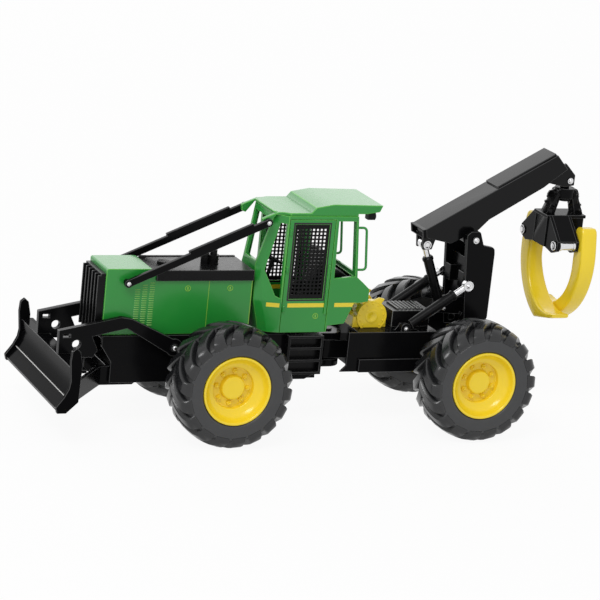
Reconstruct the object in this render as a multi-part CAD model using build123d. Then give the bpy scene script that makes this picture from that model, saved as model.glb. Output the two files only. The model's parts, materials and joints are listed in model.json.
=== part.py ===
from build123d import *
import os
from math import hypot

# A 1:32 die-cast toy of a four-wheeled grapple skidder. Sizes are in millimetres. While it is modelled, +X is
# forwards from the front axle, +Y is the machine's left and Z = 0 is the ground. At the end everything is moved
# so that the origin lies on the ground under the middle of the toy.

# Wheels and axles
wheelbase = 126.0
wheel_track = 75.0
tyre_radius = 28.8
tyre_width = 25.0
rim_radius = 16.4
bead_gap = 0.05
hub_bore = 2.05
axle_running_gap = 0.05
axle_tube = 4.5
differential_radius = 9.0

# Widths from the centre plane
frame_inner = 12.1
plate = 1.8
hood_half = 12.3
cab_half = 17.0
cab_wall = 1.8
blade_half = 41.5
arch_inner = 10.2
arch_plate = 2.4
rear_half = arch_inner + 6.8
boom_half = 7.4
winch_half = 9.5
arm_gap = 0.5
arm_thick = 3.0

# Fits
pin_radius = 1.8
small_pin = 1.3
running_gap = 0.08
side_gap = 0.3

# Places in the side view, (x, z)
articulation_x = -wheelbase / 2
rear_axle_x = -wheelbase
axle_z = tyre_radius
blade_pivot = (20.8, 40.6)
arch_pivot = (rear_axle_x - 8.0, 46.0)
arch_foot = (rear_axle_x + 28.3, 47.6)
arch_eye = (rear_axle_x - 2.5, 68.6)
boom_pivot = (rear_axle_x - 4.7, 90.8)
boom_foot = (rear_axle_x + 4.0, 54.5)
boom_eye = (rear_axle_x + 16.5, 86.1)
hanger_pin = (rear_axle_x - 56.5, 118.8)
tong_pivot_y = 16.0
tong_pivot_z = 89.0
door_front_x = -31.4
door_rear_x = -54.3
deck_top = 45.5
rear_top = 46.5

CENTRE = Align.CENTER
LOW = Align.MIN


def flat(points, depth, radius):
    """Close an outline of 3-D points, rounding its corners, and push it out along depth."""
    rounded = radius if isinstance(radius, list) else radius > 0
    outline = FilletPolyline(*points, radius=radius, close=True) if rounded else Polyline(*points, close=True)
    return extrude(make_face(outline), amount=Vector(*depth).length, dir=depth)


def slab(outline, y_low, y_high, radius=0.0):
    """A plate whose outline is drawn in the side view as (x, z)."""
    return flat([(x, y_low, z) for x, z in outline], (0, y_high - y_low, 0), radius)


def floor_plate(outline, z_low, z_high, radius=0.0):
    """A plate whose outline is drawn from above as (x, y)."""
    return flat([(x, y, z_low) for x, y in outline], (0, 0, z_high - z_low), radius)


def end_plate(outline, x_low, x_high, radius=0.0):
    """A plate whose outline is drawn from the front as (y, z)."""
    return flat([(x_low, y, z) for y, z in outline], (x_high - x_low, 0, 0), radius)


def block(x_low, x_high, y_low, y_high, z_low, z_high):
    box = Box(x_high - x_low, y_high - y_low, z_high - z_low, align=(LOW, LOW, LOW))
    return Pos(x_low, y_low, z_low) * box


def round_y(centre, radius, y_low, y_high):
    x, z = centre
    return Location((x, y_low, z), (-90, 0, 0)) * Cylinder(radius, y_high - y_low, align=(CENTRE, CENTRE, LOW))


def round_x(centre, radius, x_low, x_high):
    y, z = centre
    return Location((x_low, y, z), (0, 90, 0)) * Cylinder(radius, x_high - x_low, align=(CENTRE, CENTRE, LOW))


def round_z(centre, radius, z_low, z_high):
    x, y = centre
    return Pos(x, y, z_low) * Cylinder(radius, z_high - z_low, align=(CENTRE, CENTRE, LOW))


def bar(start, end, radius):
    """A round bar between two 3-D points."""
    run = Vector(*end) - Vector(*start)
    return Plane(origin=start, z_dir=run) * Cylinder(radius, run.length, align=(CENTRE, CENTRE, LOW))


def along(start, end, distance):
    """The (x, z) point this far from start towards end."""
    run = hypot(end[0] - start[0], end[1] - start[1])
    share = distance / run
    return (start[0] + (end[0] - start[0]) * share, start[1] + (end[1] - start[1]) * share)


def other_side(shape):
    return mirror(shape, about=Plane.XZ)


def pair(shape):
    """The same piece on both sides, as two solids."""
    return Compound(children=[*solids_of(shape), *solids_of(other_side(shape))])


def solids_of(shape):
    return [solid for solid in shape.solids()]


def both(shape):
    """The same piece on both sides, joined to each other through what they share."""
    return shape + other_side(shape)


# ------------ wheels and axles

def tyre():
    """A tyre round the Y axis. Its outer radius is that of the tread bars."""
    seat = rim_radius + bead_gap
    half = tyre_width / 2
    section = [  # (radius, width)
        (seat, -half + 1.5), (seat, half - 1.5), (seat + 3, half), (tyre_radius - 4, half),
        (tyre_radius, half - 2.6), (tyre_radius, 2.6 - half), (tyre_radius - 4, -half), (seat + 3, -half)]
    corners = [0.0, 0.0, 1.5, 2.0, 1.5, 1.5, 2.0, 1.5]
    face = make_face(FilletPolyline(*section, radius=corners, close=True))
    return revolve(face, axis=Axis.Y)


def rim():
    """A dished rim round the Y axis, with its open side towards +Y and its blind bore towards -Y."""
    lip = tyre_width / 2 - 0.9
    hub_end = 0.3 + 0.8 - tyre_width / 2
    section = [  # (radius, width)
        (rim_radius, hub_end), (rim_radius, lip), (rim_radius - 1.4, lip), (rim_radius - 2.2, 6.0),
        (10.4, 3.6), (6.3, 3.6), (5.8, 5.8), (5.0, 6.4), (0, 6.4), (0, 3.2), (hub_bore, 3.2),
        (hub_bore, hub_end), (4.8, hub_end), (4.8, 2.0), (10.0, 2.0), (rim_radius - 2.8, 4.4),
        (rim_radius - 1.4, 4.4), (rim_radius - 1.4, hub_end)]
    return revolve(make_face(Polyline(*section, close=True)), axis=Axis.Y)


def axle(x):
    """An axle housing with its differential and the stubs that the wheels turn on."""
    flange_end = wheel_track / 2 - tyre_width / 2 + 0.8
    stub_end = wheel_track / 2 + 2.7
    centre = (x, axle_z)
    half = round_y(centre, axle_tube, 0, flange_end)
    half += round_y(centre, axle_tube + 2, flange_end - 2, flange_end)
    half += round_y(centre, hub_bore - axle_running_gap, 0, stub_end)
    half += round_y(centre, differential_radius, 0, 6)
    cone = Cone(differential_radius, axle_tube, 4, align=(CENTRE, CENTRE, LOW))
    half += Location((x, 6, axle_z), (-90, 0, 0)) * cone
    return both(half)


def place_wheels(nodes):
    corners = [  # (name, x, side)
        ("front_left", 0.0, 1), ("front_right", 0.0, -1),
        ("rear_left", rear_axle_x, 1), ("rear_right", rear_axle_x, -1)]
    for name, x, side in corners:
        for piece, shape in (("tyre", tyre()), ("rim", rim())):
            turned = shape if side > 0 else other_side(shape)
            nodes[f"{piece}_{name}"] = Pos(x, side * wheel_track / 2, axle_z) * turned


# ------------ front chassis

frame_outer = frame_inner + plate
frame_rear_x = articulation_x + 9.0
lug_radius = 7.0
tongue_low, tongue_high = 30.5, 39.5
lug_thick = 3.5
lug_gap = 0.4


def front_frame():
    """Side plates, deck and floor, with the yoke of the articulation and the pins that carry the blade."""
    side = slab([  # (x, z)
        (55.0, 40.5), (55.0, deck_top), (frame_rear_x, deck_top), (frame_rear_x, 26.0), (frame_rear_x + 6, 22.8),
        (50.0, 22.8), (50.0, 33.0)], frame_inner, frame_outer)
    half = side
    half += block(frame_rear_x, 55.0, 0, frame_inner, deck_top - plate, deck_top)
    half += block(frame_rear_x, -14.0, 0, frame_inner, 22.8, 22.8 + plate)
    half += block(frame_rear_x, frame_rear_x + 2, 0, frame_inner, 22.8, deck_top)
    half += round_y(blade_pivot, pin_radius, 8.8, frame_outer + arm_gap + arm_thick + 1.0)
    half += round_y(blade_pivot, pin_radius + 1.4, frame_inner, frame_outer + arm_gap - 0.2)
    frame = both(half)
    frame -= block(-axle_tube, axle_tube, -20, 20, 20, axle_z)
    frame -= round_y((0, axle_z), axle_tube + 0.02, -20, 20)
    levels = [  # (low, high)
        (tongue_low - lug_gap - lug_thick, tongue_low - lug_gap),
        (tongue_high + lug_gap, tongue_high + lug_gap + lug_thick)]
    for low, high in levels:
        frame += block(articulation_x, frame_rear_x + 1, -lug_radius, lug_radius, low, high)
        frame += round_z((articulation_x, 0), lug_radius, low, high)
    frame += round_z((articulation_x, 0), 2.5, levels[0][0] - 0.8, levels[1][1] + 0.8)
    return frame


hood_front_x = 55.0
hood_rear_x = -17.4
hood_bottom = deck_top
hood_top = 77.0
hood_wall = 1.5
top_panel_x = 33.0
panel_z = 75.4


def hood():
    """The engine hood, a shell open below that stands on the deck. Its rear top is lower, for the panel."""
    outline = [  # (x, z)
        (hood_front_x, hood_bottom), (hood_front_x, hood_top), (top_panel_x, hood_top), (top_panel_x, panel_z),
        (hood_rear_x, panel_z), (hood_rear_x, hood_bottom)]
    shell = slab(outline, -hood_half, hood_half)
    long_edges = shell.edges().filter_by(Axis.Y).group_by(Axis.Z)[-1].group_by(Axis.X)[-1]
    shell = fillet(long_edges, 1.0)
    inside = [
        (hood_front_x - hood_wall, hood_bottom), (hood_front_x - hood_wall, panel_z - hood_wall),
        (hood_rear_x + hood_wall, panel_z - hood_wall), (hood_rear_x + hood_wall, hood_bottom)]
    return shell - slab(inside, hood_wall - hood_half, hood_half - hood_wall)


def grille():
    """A black panel in front of the hood, with upright ribs."""
    depth = 2.2
    half = hood_half - 0.9
    panel = block(hood_front_x, hood_front_x + depth, -half, half, deck_top - 0.6, hood_top - 2.4)
    ribs = 6
    pitch = 2 * (hood_half - 1.4) / (ribs - 1)
    for number in range(ribs):
        y = 1.4 - hood_half + number * pitch
        rib_x = hood_front_x + depth
        panel += block(rib_x, rib_x + 1.4, y - 0.5, y + 0.5, deck_top - 0.6, hood_top - 3.4)
    return panel


def hood_top_panel():
    """The flat black panel behind the green nose, with the round filler cap."""
    panel = block(hood_rear_x, top_panel_x - 0.2, 0.2 - hood_half, hood_half - 0.2, panel_z, panel_z + 0.8)
    panel += round_z((23.0, 0), 3.2, panel_z, panel_z + 2.2)
    return panel


def exhaust_stack():
    stack = round_z((3.0, 0), 1.9, panel_z + 0.8, 81.5)
    stack += round_z((-1.2, 0), 2.7, panel_z + 0.8, 80.6)
    stack += round_z((-1.2, 0), 1.6, 80.6, 83.0)
    return stack


rail_half = hood_half + 1.5


def hood_rails():
    return pair(block(hood_rear_x + 0.2, 31.0, hood_half, rail_half, 71.5, 76.6))


riser_front = (45.4, 71.1)
riser_rear = (-20.8, 100.0)
riser_inner = rail_half + 1.0
riser_thick = 1.9


def limb_riser():
    """A bar that turns branches away, from the hood front up to the cab roof, with a doubling strip on top."""
    low, high = riser_inner, riser_inner + riser_thick
    run = hypot(riser_front[0] - riser_rear[0], riser_front[1] - riser_rear[1])
    lift = (riser_rear[1] - riser_front[1]) / run
    lean = (riser_front[0] - riser_rear[0]) / run

    def strip(start, end, bottom, top):
        (ax, az), (bx, bz) = along(riser_front, riser_rear, start), along(riser_front, riser_rear, end)
        return slab([
            (ax + lift * bottom, az + lean * bottom), (bx + lift * bottom, bz + lean * bottom),
            (bx + lift * top, bz + lean * top), (ax + lift * top, az + lean * top)], low, high)

    riser = strip(0, run, -1.7, 1.7)
    riser += strip(run * 0.44, run * 0.9, 1.7, 2.9)
    riser += round_y(riser_front, 1.9, low, high)
    riser += round_y(riser_rear, 1.9, low, high)
    riser += round_y(riser_front, small_pin, hood_half, low)
    riser += round_y(riser_rear, small_pin, riser_inner - 0.2, low)
    return riser


def side_steps():
    """A step box under each door: a back plate, two ends and four treads."""
    front, rear = -36.0, articulation_x + 9.0
    outer = frame_outer + 4.4
    box = block(rear, front, frame_outer, frame_outer + 1.0, 26.5, deck_top)
    box += block(rear, rear + 1.2, frame_outer, outer, 26.5, deck_top)
    box += block(front - 1.2, front, frame_outer, outer, 26.5, deck_top)
    for z in (26.5, 32.6, 38.6, deck_top - 1.2):
        box += block(rear, front, frame_outer, outer, z, z + 1.2)
    return pair(box)


# ------------ cab

cab_floor = 47.0
cab_top = 103.4
bulkhead_x = articulation_x + 6.0
shelf_z = 67.3
cab_levels = [  # (z, front x, front half width, crease x, crease half width, side x), outside
    (cab_floor, -22.0, 12.2, -25.6, 15.6, -30.6),
    (62.0, -18.4, 12.2, -21.8, 14.2, -30.6),
    (78.0, -19.4, 8.0, -21.4, 10.0, -30.6),
    (cab_top, -25.0, 12.4, -26.6, 13.6, -30.6)]
cab_back = -80.0


def cab_body(inset):
    """The cab's outside shape, or the same shape drawn in all round by a wall."""
    sections = []
    for z, front_x, front_y, crease_x, crease_y, side_x in cab_levels:
        half = [
            (front_x - inset, front_y - inset * 0.5), (crease_x - inset * 0.8, crease_y - inset * 0.8),
            (side_x - inset * 0.3, cab_half - inset), (cab_back, cab_half - inset)]
        corners = half + [(x, -y) for x, y in reversed(half)]
        sections.append(make_face(Polyline(*[(x, y, z) for x, y in corners], close=True)))
    return loft(sections, ruled=True)


def cab_outline(wall):
    """The cab in the side view, with a leaning rear wall. A wall draws in the rear and the floor."""
    return [  # (x, z)
        (0, cab_floor + wall), (articulation_x + 8, cab_floor + wall), (articulation_x + 7.4, 50.1 + wall),
        (articulation_x - 1, 51.1 + wall), (articulation_x - 5.1, 60.8), (articulation_x - 12.4, 61.8),
        (articulation_x - 12.4 + wall, 67.9 - wall * 0.3), (articulation_x - 8.3 + wall, 71.5 - wall * 0.3),
        (articulation_x - 5.6 + wall, 73.7), (articulation_x - 3 + wall, cab_top), (0, cab_top)]


door_bottom = cab_floor
door_top = 101.6
door_gap = 0.25
door_thick = 1.6


def corner_window():
    """The upright opening in the slanting front corner, cut across it."""
    return slab([(-30.2, 63.6), (-27.8, 64.6), (-23.0, 76.0), (-27.6, 99.6), (-30.2, 99.6)], 9.0, 30.0)


def cab_shell():
    """Walls and floor in one casting, hollow, with its door openings and windows cut and no roof."""
    shell = cab_body(0) & slab(cab_outline(0), -30, 30)
    room = [  # (x, z)
        (0, cab_floor + cab_wall), (bulkhead_x, cab_floor + cab_wall), (bulkhead_x, shelf_z),
        (articulation_x - 12.4 + cab_wall, shelf_z), (articulation_x - 8.3 + cab_wall, 71.5 - 0.3 * cab_wall),
        (articulation_x - 5.6 + cab_wall, 73.7), (articulation_x - 3 + cab_wall, cab_top), (0, cab_top)]
    shell -= cab_body(cab_wall) & slab(room, -30, 30)
    inner = cab_half - cab_wall
    shell -= block(cab_back - 5, bulkhead_x - 1.5, -inner, inner, 40, shelf_z - 1.5)
    doorway = (door_rear_x - door_gap, door_front_x + door_gap)
    shell -= block(*doorway, -30, 30, cab_floor - 1, door_top + door_gap)
    shell += block(door_rear_x - 1.5, door_front_x + 1.5, -inner, inner, cab_floor, cab_floor + cab_wall)
    shell -= corner_window()
    shell -= other_side(corner_window())
    quarter = [(articulation_x + 6.9, 101), (articulation_x - 2.1, 101), (articulation_x - 4.3, 74.2),
               (articulation_x + 6.4, 73.2)]
    shell -= slab(quarter, -30, 30)
    shell -= end_plate([(-6.6, 79.5), (6.6, 79.5), (10.4, 100.2), (-10.4, 100.2)], -32, -10)
    shell -= end_plate([(-13, 76), (13, 76), (13, 100.5), (-13, 100.5)], articulation_x - 20, articulation_x)
    return shell


def cab_roof():
    """A front roof plate and the raised rear cap, with the two tabs that hold the limb risers."""
    wide = cab_half - 0.6
    plate_outline = [  # (x, y), half
        (-24.4, 12.6), (-31.5, wide), (articulation_x - 3, wide)]
    corners = plate_outline + [(x, -y) for x, y in reversed(plate_outline)]
    roof = floor_plate(corners, cab_top, cab_top + 1.4)
    cap = [  # (x, z)
        (-41.5, cab_top + 1.0), (-44.1, 107.4), (-53.0, 109.0), (articulation_x - 15.2, 108.6),
        (articulation_x - 13.8, 105.4), (articulation_x - 7.0, cab_top + 1.0)]
    roof += slab(cap, -wide, wide)
    low = riser_inner - 2.2
    tab = slab([  # (x, z)
        (-33.0, cab_top + 1.4), (-33.0, cab_top), (-24.8, cab_top), (-20.5, 97.8), (-18.4, 98.6), (-18.2, 101.6),
        (-20.0, 102.4), (-26.0, cab_top + 1.4)], low, riser_inner - 0.2)
    roof += tab
    roof += other_side(tab)
    return roof


def door(side):
    """A door with its window cut, its hinge knuckles at the front edge and a rib at the rear edge."""
    outer = cab_half
    leaf = block(door_rear_x, door_front_x, outer - door_thick, outer, door_bottom, door_top)
    leaf -= block(door_rear_x + 2.8, door_front_x - 2.8, outer - 5, outer + 5, 63.4, 99.4)
    for z in (57.0, 76.0, 94.0):
        leaf += round_z((door_front_x - 0.6, outer + 0.1), 0.6, z, z + 3.2)
    leaf += block(door_rear_x + 0.4, door_rear_x + 1.6, outer, outer + 0.7, 56.0, 80.0)
    return leaf if side > 0 else other_side(leaf)


def door_guard(side):
    """The mesh screen of a door, as a thin solid panel set in its window."""
    panel = block(door_rear_x + 2.9, door_front_x - 2.9, cab_half - 1.1, cab_half - 0.3, 63.5, 99.3)
    return panel if side > 0 else other_side(panel)


def cab_interior():
    """Seat, armrests and the sloping box over the raised rear floor, as one moulding."""
    floor = cab_floor + cab_wall
    inside = slab([(-40, floor), (-53, floor), (-53, 60), (-40, 58)], -7, 7)
    inside += slab([(-50, 58), (-53, 58), (-55.5, 84), (-53, 84)], -6, 6)
    inside += both(slab([(-42, floor), (-53, floor), (-53, 66), (-42, 64)], 7, 10))
    box_front = bulkhead_x - 0.4
    box_rear = articulation_x - 7.5
    inside += slab([
        (box_front, shelf_z), (box_front, 76.5), (box_front - 3, 76.5), (box_rear, 70),
        (box_rear, shelf_z)], -12, 12)
    inside += block(-56.9, -53, -6, 6, floor, shelf_z + 6)
    return inside


def steering_wheel():
    """A steering column that leans back, with the wheel on top and the small dash at its foot."""
    floor = cab_floor + cab_wall
    dash = slab([(-25.5, floor), (-31, floor), (-31, 60), (-27, 66), (-25, 66)], -5, 5)
    top = (-31.5, 0, 78.5)
    column = bar((-28, 0, 63), top, 0.9)
    wheel = Plane(origin=top, z_dir=(-0.4, 0, 0.9)) * Cylinder(5.2, 1.0)
    return dash + column + wheel


def work_lamps():
    """Two lamps that hang under the rear overhang of the cap."""
    rear = block(articulation_x - 13.0, articulation_x - 9.0, 10.0, 13.6, 100.9, 104.6)
    return pair(rear)


def grab_handles():
    """An upright round handle behind each side of the rear wall."""
    y = cab_half - 2.0
    low, high = (articulation_x - 10.2, 77.0), (articulation_x - 8.4, 97.5)
    wall_low, wall_high = articulation_x - 5.5, articulation_x - 3.7
    handle = bar((low[0], y, low[1]), (high[0], y, high[1]), 0.6)
    handle += bar((low[0], y, low[1]), (wall_low, y, low[1]), 0.6)
    handle += bar((high[0], y, high[1]), (wall_high, y, high[1]), 0.6)
    return pair(handle)


# ------------ blade

arm_inner = frame_outer + arm_gap


def blade():
    """A curved mouldboard with its cutting edge, a shelf behind the top edge and a raised wing at each end."""
    board = slab([  # (x, z), round the section from the front top
        (77.2, 38.2), (76.2, 33.0), (76.7, 29.0), (78.8, 24.6), (83.2, 19.4), (82.6, 18.0), (80.0, 18.0),
        (75.6, 23.4), (73.8, 28.6), (73.5, 33.0), (73.9, 36.6), (70.8, 36.6),
        (70.8, 38.2)], -blade_half, blade_half)
    wing = slab([  # (x, z)
        (72.9, 40.5), (74.2, 46.6), (76.2, 48.4), (78.2, 46.8), (78.6, 42.0), (77.8, 33.0), (78.4, 29.4),
        (80.4, 25.4), (84.0, 20.6), (83.2, 17.8), (79.0, 17.8), (73.5, 23.0)], blade_half - 2.0, blade_half)
    return board + wing + other_side(wing)


def blade_arms():
    """A bent arm on each side, from the blade over the wheel's front down to its pivot."""
    low, high = arm_inner, arm_inner + arm_thick
    arm = slab([  # (x, z)
        (77.0, 38.3), (77.2, 49.4), (47.3, 55.4), (42.6, 54.6), (17.6, 42.8), (18.0, 37.6), (23.4, 37.6),
        (44.6, 50.0), (61.0, 46.4), (58.0, 40.0), (60.0, 36.4), (70.7, 36.4), (70.7, 38.3)], low, high)
    arm += round_y(blade_pivot, 4.2, low, high)
    arm -= round_y(blade_pivot, pin_radius + running_gap, low - 1, high + 1)
    arm -= round_y((68.4, 42.8), 2.0, low - 1, high + 1)
    arm -= block(71.6, 75.0, low - 1, high + 1, 46.2, 47.8)
    return pair(arm)


def push_frame():
    """Two bars that spread from inside the frame to the blade's back, tied by a cross plate."""
    low, high = 21.2, 30.4
    inner_high = frame_inner - 0.4
    inner_low = inner_high - 2.4
    half = floor_plate([  # (x, y)
        (74.2, 37.0), (74.2, 34.2), (55.0, inner_low), (49.0, inner_low), (49.0, inner_high),
        (53.8, inner_high)],
        low, high)
    half += block(49.0, 51.0, 0, inner_low + 1, low + 2, high)
    half += slab([  # (x, z)
        (50.0, low), (50.0, high), (23.6, 42.8), (17.8, 42.4), (17.2, 38.0), (38.0, low)], inner_low, inner_high)
    half -= round_y(blade_pivot, pin_radius + running_gap, 0, frame_inner)
    frame = both(half)
    behind_board = slab([  # (x, z)
        (75.6, 23.4), (73.8, 28.6), (73.5, 33.0), (90, 33), (90, 10), (84, 10)], -60, 60)
    return frame - behind_board


# ------------ rear chassis

rear_inner = rear_half - 1.2
rear_front_x = articulation_x - 4.5
rear_end_x = rear_axle_x - 21.0
foot_ear = (arch_inner + 0.9, arch_inner + arch_plate - 0.1)
eye_radius = 2.6
arch_eye_half = 1.4
boom_eye_half = 1.8
cylinder_y = arch_inner + arch_plate + 0.2 + arch_eye_half


def rear_frame():
    """Side plates, deck, the articulation's tongue, and the pins of the arch and of its cylinders' feet."""
    px, pz = arch_pivot
    half = slab([  # (x, z)
        (rear_front_x, 30.0), (rear_front_x, rear_top), (px + 7, rear_top), (px + 4, 51.0), (px - 4, 51.0),
        (rear_end_x, 43.0), (rear_end_x, 31.0), (rear_end_x + 5, 27.0), (rear_front_x + 3, 27.0)],
        rear_inner, rear_half)
    half += block(rear_end_x + 6, rear_front_x - 6, rear_half, rear_half + 1.6, 27.0, 33.5)
    plate_x = articulation_x - 9.5
    half += block(plate_x - 2, plate_x, 0, rear_inner, 27.0, rear_top)
    half += block(rear_axle_x + 12, plate_x, 0, rear_inner, rear_top - plate, rear_top)
    half += block(rear_end_x, rear_axle_x - 16, 0, rear_inner, 31.0, 33.0)
    half += block(rear_end_x, rear_end_x + 2, 0, rear_inner, 31.0, 43.0)
    foot_x, foot_z = arch_foot
    half -= block(foot_x - 7, foot_x + 5, foot_ear[1], rear_inner, rear_top - 3, rear_top + 1)
    half += slab([
        (foot_x - 4, rear_top - 1), (foot_x - 1.2, foot_z), (foot_x - 0.2, foot_z + 2.0),
        (foot_x + 2, foot_z + 2.0),
        (foot_x + 5, rear_top - 1)], *foot_ear)
    half += round_y(arch_foot, small_pin, foot_ear[0], cylinder_y + arch_eye_half + 0.3)
    half += round_y(arch_pivot, pin_radius, arch_inner - 0.4, rear_half)
    frame = both(half)
    frame -= block(rear_axle_x - axle_tube, rear_axle_x + axle_tube, -30, 30, 20, axle_z)
    frame -= round_y((rear_axle_x, axle_z), axle_tube + 0.02, -30, 30)
    frame += block(plate_x - 1, articulation_x, -6.0, 6.0, tongue_low, tongue_high)
    frame += round_z((articulation_x, 0), 6.0, tongue_low, tongue_high)
    frame -= round_z((articulation_x, 0), 2.5 + running_gap, 20, 50)
    return frame


winch_x = articulation_x - 18.7
winch_z = 52.2
winch_radius = 7.8


def winch():
    """A yellow winch: round gear covers on a block, with a drum between them and two lifting lugs."""
    half = winch_half
    body = round_y((winch_x, winch_z), winch_radius, half - 4.0, half)
    body += block(winch_x - 8.2, winch_x + 9.4, 0, half - 0.8, rear_top, 52.0)
    body += round_y((winch_x, winch_z), 5.6, 0, half)
    body += slab([
        (winch_x - 4, 57), (winch_x - 6.4, 60.6), (winch_x - 3.6, 61.2), (winch_x + 1, 59.2),
        (winch_x + 3.4, 61.2),
        (winch_x + 5.6, 60.6), (winch_x + 5.2, 55)], half - 2.2, half - 0.6)
    return both(body) - block(winch_x - 20, winch_x + 20, -20, 20, rear_top - 10, rear_top)


def winch_tray():
    """The box behind the winch with a ribbed top plate."""
    rear, front = winch_x - 31.2, winch_x - 11.4
    tray = block(rear, front, -8.2, 8.2, rear_top, 54.6)
    count = 7
    pitch = (front - rear - 5) / count
    for number in range(count):
        x = rear + 3 + number * pitch
        tray += block(x, x + pitch * 0.5, -6.4, 6.4, 54.6, 55.4)
    return tray


# ------------ arch, boom and cylinders

arch_outer = arch_inner + arch_plate
barrel_radius = 2.4
rod_radius = 1.5
rod_gap = 0.06


def arch():
    """Two side plates tied by a back plate, a front plate and a step box, with the boom's pin at the top."""
    px, pz = arch_pivot
    bx, bz = boom_pivot
    half = slab([  # (x, z)
        (px + 3.6, pz - 3.4), (px + 5.4, 60.0), (bx + 4.0, 84.0), (bx + 4.6, bz + 2.4), (bx + 2.4, bz + 4.2),
        (bx - 2.4, bz + 4.2), (bx - 4.8, 88.2), (px - 7.6, 87.0), (px - 8.0, 84.0), (px - 8.0, 52.0),
        (px - 3.6, pz - 3.4)], arch_inner, arch_outer, [0.0, 0.0, 0.0, 1.5, 1.5, 1.5, 1.0, 2.0, 0.0, 2.0, 1.5])
    half += block(px - 8.0, px - 6.4, 0, arch_inner, 53.0, 83.0)
    half += block(px + 1.6, px + 3.2, 0, arch_inner, 53.0, 80.0)
    half += block(px + 3.2, px + 6.4, 4.6, arch_inner, 66.0, 74.0)
    foot_x, foot_z = boom_foot
    half += slab([
        (px + 3.0, foot_z - 3.2), (px + 3.0, foot_z + 6.0),
        (foot_x + 2.4, foot_z + 2.6), (foot_x + 2.6, foot_z - 2.4)],
        boom_eye_half + 0.7, boom_eye_half + 2.3)
    half += round_y(boom_foot, small_pin, 0, boom_eye_half + 2.8)
    half += round_y(boom_pivot, pin_radius, 0, arch_outer + 0.8)
    half -= round_y(arch_pivot, pin_radius + running_gap, arch_inner - 1, arch_outer + 1)
    return both(half)


def boom():
    """A bent box boom that turns on the arch, with ears for its cylinder and for the hanger at its tip."""
    bx, bz = boom_pivot
    tip_x, tip_z = hanger_pin
    beam = slab([  # (x, z)
        (bx + 24.4, 94.7), (bx - 42.0, 132.1), (bx - 48.3, 125.1), (bx - 36.3, 115.9), (bx - 8.8, 99.7),
        (bx - 3.2, 94.0), (bx + 10.3, 87.7), (bx + 23.7, 90.5)], -boom_half, boom_half)
    cover = [(bx - 12.0, 115.0), (bx - 41.6, 131.8), (bx - 41.2, 132.8), (bx - 11.4, 116.0)]
    beam += slab(cover, 0.8 - boom_half, boom_half - 0.8)
    beam += round_y(boom_pivot, 4.2, -boom_half, boom_half)
    beam -= round_y(boom_pivot, pin_radius + running_gap, -20, 20)
    eye_x, eye_z = boom_eye
    front_ear = slab([  # (x, z)
        (eye_x - 4.5, 90.0), (eye_x - 2.6, eye_z - 2.2), (eye_x + 2.2, eye_z - 2.4), (eye_x + 3.0, 91.5)],
        boom_eye_half + 0.7, boom_eye_half + 2.3)
    tip_ear = slab([  # (x, z)
        (tip_x + 14.0, 118.0), (tip_x + 3.0, 127.4), (tip_x - 2.6, 121.6), (tip_x - 2.6, 116.4),
        (tip_x + 2.8, 115.6)],
        2.7, 4.5)
    for ear in (front_ear, tip_ear):
        beam += ear
        beam += other_side(ear)
    beam += round_y(hanger_pin, small_pin, -4.9, 4.9)
    return beam


def barrel(foot, eye, y, eye_half, length):
    """A cylinder barrel with the eye it turns on, joined by a neck. It is open at its gland end."""
    neck, start, end = along(foot, eye, 1.0), along(foot, eye, 3.2), along(foot, eye, length)
    bore_start, bore_end = along(foot, eye, 5.0), along(foot, eye, length + 1.0)
    body = bar((start[0], y, start[1]), (end[0], y, end[1]), barrel_radius)
    body += bar((neck[0], y, neck[1]), (start[0], y, start[1]), eye_half - 0.2)
    body += round_y(foot, eye_radius, y - eye_half, y + eye_half)
    body -= bar((bore_start[0], y, bore_start[1]), (bore_end[0], y, bore_end[1]), rod_radius + rod_gap)
    return body - round_y(foot, small_pin + running_gap, y - 9, y + 9)


def rod(foot, eye, y, eye_half, start_at):
    """A cylinder rod with its eye."""
    start = along(foot, eye, start_at)
    body = bar((start[0], y, start[1]), (eye[0], y, eye[1]), rod_radius)
    body += round_y(eye, eye_radius, y - eye_half, y + eye_half)
    return body


def cylinders(nodes):
    """Two cylinders tilt the arch and one lifts the boom. Each rod ends at its own eye, clear of the ears."""
    arch_run = hypot(arch_eye[0] - arch_foot[0], arch_eye[1] - arch_foot[1])
    boom_run = hypot(boom_eye[0] - boom_foot[0], boom_eye[1] - boom_foot[1])
    arch_fit, boom_fit = (cylinder_y, arch_eye_half), (0, boom_eye_half)
    nodes["arch_cylinder_barrels"] = pair(barrel(arch_foot, arch_eye, *arch_fit, arch_run - 8.0))
    nodes["arch_cylinder_rods"] = pair(rod(arch_foot, arch_eye, *arch_fit, 9.0))
    nodes["boom_cylinder_barrel"] = barrel(boom_foot, boom_eye, *boom_fit, boom_run - 7.5)
    nodes["boom_cylinder_rod"] = rod(boom_foot, boom_eye, *boom_fit, 8.0)


# ------------ grapple

head_top = 102.0
head_front_x = hanger_pin[0] + 11.5
head_rear_x = hanger_pin[0] - 10.0
tong_width = 8.4
tip_reach = 1.9
wing_plate = 1.6
right_tong_x = head_front_x - 2.9 - tong_width
wing_back_x = right_tong_x - side_gap
left_tong_x = wing_back_x - wing_plate - 0.4
post_radius = 2.2
post_gap = 0.06


def hanger():
    """The knuckle under the boom tip: an eye on the cross pin, and a post that the grapple turns on."""
    x, z = hanger_pin
    knuckle = round_y(hanger_pin, 3.0, -2.4, 2.4)
    knuckle += round_z((x, 0), post_radius, z - 9.6, z - 1.5)
    knuckle += round_z((x, 0), 3.2, z - 10.8, z - 9.6)
    return knuckle - round_y(hanger_pin, small_pin + running_gap, -9, 9)


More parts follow.
